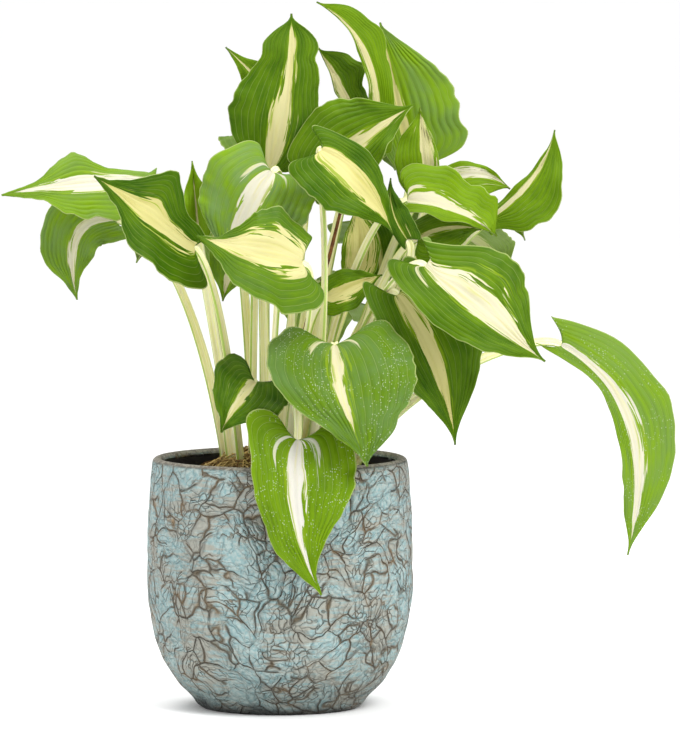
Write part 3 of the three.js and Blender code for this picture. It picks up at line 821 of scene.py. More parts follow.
@dataclass
class Blade:
    """A hosta blade: heart-based, quilted between its sunken veins, ruffled at the margin."""

    number: int
    shape: LeafShape
    thickness: float = 0.8
    base_edge: float = 2.2
    heart_at: float = 0.12
    drip_from: float = 0.62
    curl: float = 20.0
    wave: float = 2.0
    waves: int = 3
    veins: int = 8
    quilting: float = 0.017
    ruffle: float = 1.1
    scalloping: float = 0.022
    keel: float = 1.5
    groove: float = 0.5
    midrib_half: float = 1.5
    large_from: float = 60.0

    def __post_init__(self) -> None:
        """Lay the midrib and seed the blade's own unevenness."""
        self.rib = Midrib(self.shape)
        rng = random.Random(900 + self.number)
        self.phases = [rng.uniform(0, TURN) for _ in range(8)]

    @property
    def length(self) -> float:
        """Length of the midrib."""
        return self.rib.reach[-1]

    def half(self, v: np.ndarray) -> np.ndarray:
        """Return the greatest half width on v's side."""
        return by_side(v, self.shape.left, self.shape.right)

    def flat_half(self, s: np.ndarray, v: np.ndarray) -> np.ndarray:
        """Read the blade's half width, measured over its curve.

        Args:
            s: 0 at the base to 1 at the tip.
            v: -1 at the left margin to 1 at the right.

        Returns:
            The half width on v's side.
        """
        bulge = np.clip(np.sin(np.pi * np.clip(s, 0, 1) ** 0.716), 0, 1)
        width = np.maximum(np.where(s < 0.38, bulge ** 0.8, bulge ** 1.2), 0.02)
        shape = self.shape
        edge = by_side(v, at_stations(shape.edge_left, 1, s), at_stations(shape.edge_right, 1, s))
        drip = 1 - 0.3 * fade(s, self.drip_from, 1.0)
        return self.base_edge * (1 - s) ** 3 + self.half(v) * width * edge * drip * self.scallop(s, v)

    def surface(self, s: np.ndarray, v: np.ndarray) -> np.ndarray:
        """Lay the blade's middle surface.

        Args:
            s: 0 at the base to 1 at the tip.
            v: -1 at the left margin to 1 at the right.

        Returns:
            The surface's points.
        """
        shape, side = self.shape, np.abs(v)
        across = side * self.flat_half(s, v)
        height = s - shape.heart * (s / self.heart_at) * np.exp(1 - s / self.heart_at) * (1 - s)
        along = self.length * (s + (height - s) * side ** 1.5)
        point, tangent, normal, outward = self.rib.at(along)
        fold = np.radians(by_side(v, *shape.fold))
        curl = math.radians(self.curl) / self.half(v)
        lateral = (np.sin(fold) - np.sin(fold - curl * across)) / curl
        lift = (np.cos(fold - curl * across) - np.cos(fold)) / curl
        swing = np.sin(TURN * self.waves * s + by_side(v, 0, 2.0))
        lift = lift + self.wave * side ** 2 * swing * arch(s, 0.6)
        raised = by_side(v, at_stations(shape.lift_left, 0, s), at_stations(shape.lift_right, 0, s))
        lift = lift + raised * side ** 2 + self.quilt(s, v) + self.unevenness(s, v)
        behind, lateral = np.minimum(along, 0)[..., None], (np.sign(v) * lateral)[..., None]
        return point + tangent * behind + outward * lateral + normal * lift[..., None]

    def scallop(self, s: np.ndarray, v: np.ndarray) -> np.ndarray:
        """Read the small uneven in and out of the margin.

        Args:
            s: 0 at the base to 1 at the tip.
            v: -1 at the left margin to 1 at the right.

        Returns:
            A share of the width, about 1.
        """
        p = self.phases
        swing = np.sin(TURN * 5.3 * s + by_side(v, p[0], p[1]) + 1.3 * np.sin(TURN * 1.4 * s + p[2]))
        swing = swing + 0.5 * np.sin(TURN * 11 * s + by_side(v, p[3], p[4]))
        return 1 + self.scalloping * swing * np.abs(v) ** 3 * arch(s, 0.5)

    def quilt(self, s: np.ndarray, v: np.ndarray) -> np.ndarray:
        """Read how far the blade swells between its veins.

        Args:
            s: 0 at the base to 1 at the tip.
            v: -1 at the left margin to 1 at the right.

        Returns:
            The rise above the middle surface, in millimetres.
        """
        side = np.abs(v)
        between = np.abs(np.sin(np.pi * self.veins * side))
        size = self.quilting * self.half(v)
        size = size * (1 + 0.7 * np.sin(TURN * (2.3 * s + 0.8 * v) + self.phases[7]))
        return size * (between ** 0.8 - 0.5) * fade(side, 0.0, 0.12) * fade(side, 1.0, 0.86) * arch(s, 0.5)

    def unevenness(self, s: np.ndarray, v: np.ndarray) -> np.ndarray:
        """Read the fine ruffle of the margin and the blade's slow unevenness.

        Args:
            s: 0 at the base to 1 at the tip.
            v: -1 at the left margin to 1 at the right.

        Returns:
            The rise above the middle surface, in millimetres.
        """
        p, side = self.phases, np.abs(v)
        edge = np.sin(TURN * 6.5 * s + by_side(v, p[0], p[1])) * (0.6 + 0.4 * np.sin(TURN * 1.7 * s + p[2]))
        edge = edge + 0.4 * np.sin(TURN * 13 * s + by_side(v, p[3], p[4]))
        slow = np.sin(TURN * (0.9 * s + 0.35 * v) + p[5]) * np.sin(TURN * (0.8 * v - 0.6 * s) + p[6])
        size = min(self.shape.left, self.shape.right) / 30
        return size * arch(s, 0.5) * (self.ruffle * side ** 4 * edge + 1.5 * slow * side)

    def marking(self, s: np.ndarray, v: np.ndarray) -> np.ndarray:
        """Return how far from the midrib the cream reaches, as a share of the half width."""
        shape = self.shape
        return by_side(v, *shape.cream) * (1 - shape.taper * s) * fade(s, shape.reach, shape.reach - 0.22)

    def build(self, material: bpy.types.Material) -> None:
        """Make the blade: a grid given a wall, then laid on the leaf's curved form.

        Args:
            material: The blade finish.
        """
        rows, columns = (50, 64) if self.length > self.large_from else (30, 40)
        bm = bmesh.new()
        bmesh.ops.create_grid(bm, x_segments=columns, y_segments=rows, size=1)
        bmesh.ops.solidify(bm, geom=bm.faces[:], thickness=0.1)
        bmesh.ops.recalc_face_normals(bm, faces=bm.faces)
        flat = np.array([v.co for v in bm.verts])
        upper = flat[:, 2] > flat[:, 2].mean()
        v = np.clip(flat[:, 0], -1, 1)
        s = np.clip((flat[:, 1] + 1) / 2, 0, 1) ** 1.15

        # the wall stands on the surface's own normal, thinner at the margin and keeled below
        s0 = np.clip(s, 0.012, 0.985)
        along = self.surface(s0 + 0.01, v) - self.surface(s0 - 0.01, v)
        across = self.surface(s0, np.minimum(v + 0.02, 1)) - self.surface(s0, np.maximum(v - 0.02, -1))
        normal = unit(np.cross(across, along))
        wall = self.thickness / 2 * (1 - 0.55 * np.abs(v) ** 6)
        reach = np.abs(v) * self.flat_half(s, v)
        keel = self.keel * (1 - s) ** 1.3 * np.exp(-(reach / self.midrib_half) ** 2)
        groove = self.groove * (1 - s) ** 1.2 * np.exp(-(reach / 1.2) ** 2)
        offset = np.where(upper, wall - groove, -wall - keel)
        for vert, place in zip(bm.verts, self.surface(s, v) + normal * offset[:, None]):
            vert.co = place

        shape = self.shape
        even = {name: np.full(len(s), getattr(shape, name)) for name in ("milk", "tone", "bloom", "dew")}
        mark(bm, along=s, across=v, cream=self.marking(s, v), hook=shape.hook * fade(s, 0.42, 0.05), **even,
             seed=np.full(len(s), 7.31 * self.number), under=np.where(upper, 0.0, 1.0))
        publish(bm, f"hosta_blade_{self.number:02d}", material, "leaf", f"leaf_blade_{self.number:02d}")


@dataclass
class Petiole:
    """A channelled leaf stalk, from its crown in the soil into the back of its blade."""

    blade: Blade
    foot_height: float = 118.0
    root_half: float = 3.7
    end_half: float = 2.45
    stations: int = 34
    corners: int = 16
    seat: float = 0.3
    outward_lean: float = 0.004
    tail_points: int = 5

    def path(self) -> tuple[np.ndarray, np.ndarray, np.ndarray]:
        """Lay the stalk's course.

        Returns:
            Its points, headings and half widths, from the crown to beneath the blade.
        """
        shape = self.blade.shape
        foot = np.array([*shape.root, self.foot_height])
        base = np.array(shape.base, float)
        heading = unit(np.array(shape.bend, float) - base)
        end = base - heading * 2 * self.seat
        span = np.linalg.norm(end - foot)
        leaning = np.array([shape.root[0] * self.outward_lean, shape.root[1] * self.outward_lean, 1.0])
        lean = np.array(shape.via, float) if shape.via else foot + leaning * span * shape.rise
        arrive = end - heading * span * shape.turn
        t = np.linspace(0, 1, self.stations)[:, None]
        path = (1 - t) ** 3 * foot + 3 * t * (1 - t) ** 2 * lean + 3 * t * t * (1 - t) * arrive + t ** 3 * end
        half = self.root_half + (self.end_half - self.root_half) * t[:, 0]

        # past the base it lies along the underside of the blade and dies away
        ahead = np.linspace(0.02, 0.16, self.tail_points) * self.blade.length
        point, tangent, normal, _ = self.blade.rib.at(ahead)
        thin = self.end_half * np.linspace(0.86, 0.3, self.tail_points)
        run = unit(np.concatenate([np.gradient(path, axis=0), tangent]))
        path = np.concatenate([path, point - normal * (0.35 + 0.45 * thin)[:, None]])
        return path, run, np.concatenate([half, thin])

    def add_to(self, bm: bmesh.types.BMesh) -> None:
        """Add the stalk, rounded below and channelled above.

        Args:
            bm: Its shoot's mesh.
        """
        path, run, half = self.path()
        number = self.blade.number
        normals = carried_frame(path, run, self.stations - 1, self.blade.rib.normals[0])
        normals = unit(normals - (normals * run).sum(1, keepdims=True) * run)
        turn = around(self.corners)
        beside, above = np.cos(turn), np.sin(turn)
        above = np.where(above > 0, 0.34 * above - 0.42 * np.exp(-(beside / 0.5) ** 2) * above, 0.82 * above)
        half = (half * (1 + 0.05 * np.sin(np.linspace(0, 9, len(path)) + number)))[:, None]
        tube = Grid(bm, self.corners, len(path) - 1)
        tube.map(tube_rings(path, np.cross(run, normals), normals, (beside * half, above * half)))
        rows = np.linspace(0, 1, len(path))[:, None].repeat(self.corners, 1)
        tube.paint("along", rows)
        tube.paint("edge", np.broadcast_to(beside, rows.shape))
        tube.paint("seed", np.full(rows.shape, 3.7 * number))


@dataclass
class Stems:
    """One shoot: its petioles, and the crown that they grow from."""

    shoot: Shoot
    blades: list[Blade]
    crown_bottom: float = 112.0
    crown_top: float = 124.0
    margin: float = 2.0
    bands: int = 8
    sides: int = 20

    def build(self, material: bpy.types.Material) -> None:
        """Make the shoot's stems as one piece.

        Args:
            material: The petiole finish.
        """
        bm = bmesh.new()
        mine = [blade for blade in self.blades if blade.shape.shoot is self.shoot]
        for blade in mine:
            Petiole(blade).add_to(bm)
        feet = np.array([blade.shape.root for blade in mine])
        centre, spread = feet.mean(0), np.ptp(feet, axis=0) / 2 + self.margin
        stations, turn = np.linspace(0, 1, self.bands)[:, None], around(self.sides)
        girth = np.sin(np.pi * (0.12 + 0.76 * stations)) ** 0.7
        height = self.crown_bottom + (self.crown_top - self.crown_bottom) * stations + 0 * turn
        east = centre[0] + girth * spread[0] * np.cos(turn)
        north = centre[1] + girth * spread[1] * np.sin(turn)
        rings = np.stack([east, north, height], axis=-1)
        Grid(bm, self.sides, self.bands - 1).map(rings)
        close_tubes(bm)
        name = self.shoot.value
        publish(bm, f"hosta_stems_{name}", material, "petiole", f"petioles_{name}_shoot")


# ----------------------------------------------------------- pot, soil and fibre


@dataclass
class CracklePot:
    """The turned pot: a net of creases round raised plates, a plain lip and a dark inside."""

    height: float = 150.0
    outside: tuple = ((47, 0), (49.5, 1.6), (54, 7), (62, 15), (66, 21), (70, 27), (74, 37), (77.5, 50),
                      (80, 68), (80, 92), (79.3, 118), (78, 138), (76.6, 146.5))
    inside: tuple = ((46, 9), (54, 15), (62.5, 27), (70, 50), (72.5, 70), (72.5, 92), (71.7, 120),
                     (70.4, 140))
    belly: float = 80.0
    pressed: float = 0.55
    sides: int = 300
    rows: int = 96
    lip_rows: int = 15
    inner_rows: int = 22

    def curve(self, points: list, count: int) -> np.ndarray:
        """Lay a smooth row of points.

        Args:
            points: The points that it passes, as radius and height.
            count: How many points it has.

        Returns:
            The row, evenly spaced.
        """
        knots = np.array(points, float)
        reach = np.concatenate([[0], np.cumsum(np.linalg.norm(np.diff(knots, axis=0), axis=1))])
        at = np.linspace(0, reach[-1], count)
        i = np.clip(np.searchsorted(reach, at, side="right") - 1, 0, len(knots) - 2)
        gap = (reach[i + 1] - reach[i])[:, None]
        return hermite(knots, np.gradient(knots, reach, axis=0), i, (at - reach[i])[:, None] / gap, gap)

    def profile(self) -> tuple[np.ndarray, int]:
        """Lay the wall's profile.

        Returns:
            The profile, from foot over lip to inner floor, and the count of its outer rows.
        """
        outer = self.curve(list(self.outside), self.rows)
        widths, levels = zip(*self.outside)
        outer[:, 0] = np.minimum(outer[:, 0], np.interp(outer[:, 1], levels, widths) + 0.25)
        out, within = self.outside[-1][0], self.inside[-1][0]
        rounded = [(out - 0.5, 148.4), (out - 1.6, 149.5), ((out + within) / 2, self.height),
                   (within + 1.3, 149.2), (within + 0.2, 147.4), (within, 144)]
        lip = self.curve([self.outside[-1], *rounded, self.inside[-1]], self.lip_rows)
        inner = self.curve(list(reversed(self.inside)), self.inner_rows)
        return np.concatenate([outer, lip[1:], inner[1:]]), len(outer)

    def build(self, material: bpy.types.Material) -> None:
        """Make the pot: its profile spun and closed below, with a hand-shaped unevenness.

        Args:
            material: The pot's finish.
        """
        profile, outer = self.profile()
        bm = bmesh.new()
        row = bm.verts.layers.int.new("row")
        verts = [bm.verts.new((r, 0, z)) for r, z in profile]
        edges = [bm.edges.new(pair) for pair in zip(verts, verts[1:])]
        for k, vert in enumerate(verts):
            vert[row] = k
        bmesh.ops.spin(bm, geom=verts + edges, cent=(0, 0, 0), axis=(0, 0, 1), angle=TURN, steps=self.sides,
                       use_merge=True)
        bmesh.ops.remove_doubles(bm, verts=bm.verts, dist=1e-4)
        place = np.array([v.co for v in bm.verts])
        rows = np.array([v[row] for v in bm.verts])
        turn, height = np.arctan2(place[:, 1], place[:, 0]), place[:, 2]

        # lumps as of a hand-pressed wall, from the foot up to the hem of the lip
        ring = np.stack([self.belly * np.cos(turn), self.belly * np.sin(turn), height], axis=1)
        hem = fade(height, 146.0, 140.0) * fade(height, 0.5, 6.0) * (rows < outer)
        lumps = self.pressed * noise_field(ring, 15, 70) + 0.35 * noise_field(ring, 6, 90)
        radius = np.hypot(place[:, 0], place[:, 1]) - hem * np.clip(self.pressed + lumps, 0, 1.4)
        for vert, r, a in zip(bm.verts, radius, turn):
            vert.co.x, vert.co.y = r * math.cos(a), r * math.sin(a)
        within = (rows >= outer + 8) * fade(height, 149.6, 148.6)
        mark(bm, lip=fade(height, 147.2, 148.6) * (1 - within), inside=within)
        close_mesh(bm)
        publish(bm, "crackle_pot", material, "ceramic", "pot")


@dataclass
class Soil:
    """Potting soil: a dark crumbly bed, crowned a little in the middle."""

    edge: float = 133.0
    crown: float = 137.0
    bottom: float = 112.0
    edge_radius: float = 70.4
    bands: int = 46
    sides: int = 150

    def height(self, radius: np.ndarray) -> np.ndarray:
        """Return the bed's height at a radius."""
        return self.crown + (self.edge - self.crown) * np.minimum(1, radius / self.edge_radius) ** 2

    def build(self, material: bpy.types.Material) -> None:
        """Make the bed: a disc of crumbs with a plain skirt below.

        Args:
            material: The soil finish.
        """
        bm = bmesh.new()
        radii = np.linspace(0.8, self.edge_radius, self.bands)
        across, turn = np.meshgrid(radii, around(self.sides), indexing="ij")
        bed = np.stack([across * np.cos(turn), across * np.sin(turn), self.height(across)], axis=-1)
        spots = bed.reshape(-1, 3)
        lumps = (1.1 * noise_field(spots, 7, 1) + 0.7 * noise_field(spots, 2.6, 2)).reshape(across.shape)
        bed[..., 2] += np.clip(lumps, -1.2, 1.2) * fade(across, self.edge_radius, self.edge_radius - 4)
        skirt = bed[-1:].copy()
        skirt[..., 2] = self.bottom
        skirt[..., :2] *= 0.97
        Grid(bm, self.sides, self.bands).map(np.concatenate([bed, skirt]))
        close_tubes(bm)
        publish(bm, "potting_soil", material, "soil", "soil")


@dataclass
class FibreMulch:
    """A loose heap of golden fibre round the crowns."""

    soil: Soil
    radius: float = 52.0
    crown: float = 15.0
    hem: float = 2.4
    bands: int = 20
    sides: int = 72
    strands: int = 1300
    strand_points: int = 6
    strand_corners: int = 3
    pot_inside: float = 66.0
    seed: int = 11

    def top(self, radius: np.ndarray) -> np.ndarray:
        """Return the heap's height at a radius."""
        slope = (self.hem - self.crown) * np.minimum(1, radius / self.radius) ** 2.6
        return self.soil.height(radius) + self.crown + slope

    def build(self, material: bpy.types.Material) -> None:
        """Make the heap: a lumpy mound under thin curved strands.

        Args:
            material: The fibre finish.
        """
        bm = bmesh.new()
        radii = np.linspace(0.6, self.radius, self.bands)
        across, turn = np.meshgrid(radii, around(self.sides), indexing="ij")
        ragged = across * (1 + 0.07 * np.sin(5 * turn) * across / self.radius)
        mound = np.stack([ragged * np.cos(turn), ragged * np.sin(turn), self.top(across) - 1.2], axis=-1)
        mound[..., 2] += 1.1 * noise_field(mound.reshape(-1, 3), 6, 4, 2).reshape(across.shape)
        hem = mound[-1:].copy()
        hem[..., 2] -= 4
        Grid(bm, self.sides, self.bands).map(np.concatenate([mound, hem]))
        rng = random.Random(self.seed)
        for _ in range(self.strands):
            self.add_strand(bm, rng)
        close_tubes(bm)
        publish(bm, "golden_fibre", material, "fibre", "fibre_mulch")

    def add_strand(self, bm: bmesh.types.BMesh, rng: random.Random) -> None:
        """Add one curved strand, thinner at its ends.

        Args:
            bm: The heap's mesh.
            rng: The draw that places it.
        """
        out = self.radius * math.sqrt(rng.random()) * 1.03
        angle, heading = rng.uniform(0, TURN), rng.uniform(0, TURN)
        length, bow = rng.uniform(8, 22), rng.uniform(-0.35, 0.35)
        u = np.linspace(-0.5, 0.5, self.strand_points)
        x = out * math.cos(angle) + length * (u * math.cos(heading) - bow * u * u * 2 * math.sin(heading))
        y = out * math.sin(angle) + length * (u * math.sin(heading) + bow * u * u * 2 * math.cos(heading))
        keep = np.minimum(1, self.pot_inside / np.maximum(np.hypot(x, y), 1e-6))
        x, y = x * keep, y * keep
        rise = rng.uniform(0.6, 3.4) * (1 - (2 * u) ** 2) + rng.uniform(-0.1, 0.2) * length * (u + 0.5)
        z = self.top(np.hypot(x, y)) + 0.1 + rise + rng.uniform(-0.6, 0.9)
        path = np.stack([x, y, z], axis=1)
        run = unit(np.gradient(path, axis=0))
        side = unit(np.cross(run, [0, 0, 1.0]))
        girth = (rng.uniform(0.34, 0.78) * (1 - 0.6 * np.abs(2 * u) ** 2))[:, None]
        corner = around(self.strand_corners)
        reach = (np.cos(corner) * girth, np.sin(corner) * girth * 0.7)
        grid = Grid(bm, self.strand_corners, self.strand_points - 1)
        grid.map(tube_rings(path, side, np.cross(side, run), reach))
        grid.paint("strand", np.full((self.strand_points, self.strand_corners), rng.uniform(0.4, 1.15)))


@dataclass
class DryStalk:
    """Last year's flower stalk, thin, brown and bent over."""

    points: tuple = ((1, 5, 126.5), (8, 0, 190), (16, -8, 231), (27, -12, 262), (36, -14, 297))
    radius: float = 1.2
    stations: int = 40
    corners: int = 10
    joint_gap: float = 1.4

    def build(self, material: bpy.types.Material) -> None:
        """Make the stalk: a tube with low joints and a shrivelled skin.

        Args:
            material: The dry finish.
        """
        knots = np.array(self.points, float)
        t = np.linspace(0, len(knots) - 1, self.stations)
        i = np.clip(t.astype(int), 0, len(knots) - 2)
        path = hermite(knots, np.gradient(knots, axis=0), i, (t - i)[:, None])
        run = unit(np.gradient(path, axis=0))
        side = unit(np.cross(run, [0.0, 1.0, 0.0]))
        corner, t = around(self.corners), t[:, None]
        joints = 0.14 * np.exp(-((t % self.joint_gap - self.joint_gap / 2) / 0.06) ** 2)
        girth = self.radius * np.linspace(1.15, 0.8, self.stations)[:, None]
        girth = girth * (1 + 0.13 * np.cos(3 * corner + 0.9 * t) + joints)
        bm = bmesh.new()
        rings = tube_rings(path, side, np.cross(side, run), (np.cos(corner) * girth, np.sin(corner) * girth))
        Grid(bm, self.corners, self.stations - 1).map(rings)
        close_tubes(bm)
        publish(bm, "dry_stalk", material, "dry_stalk", "dry_flower_stalk")


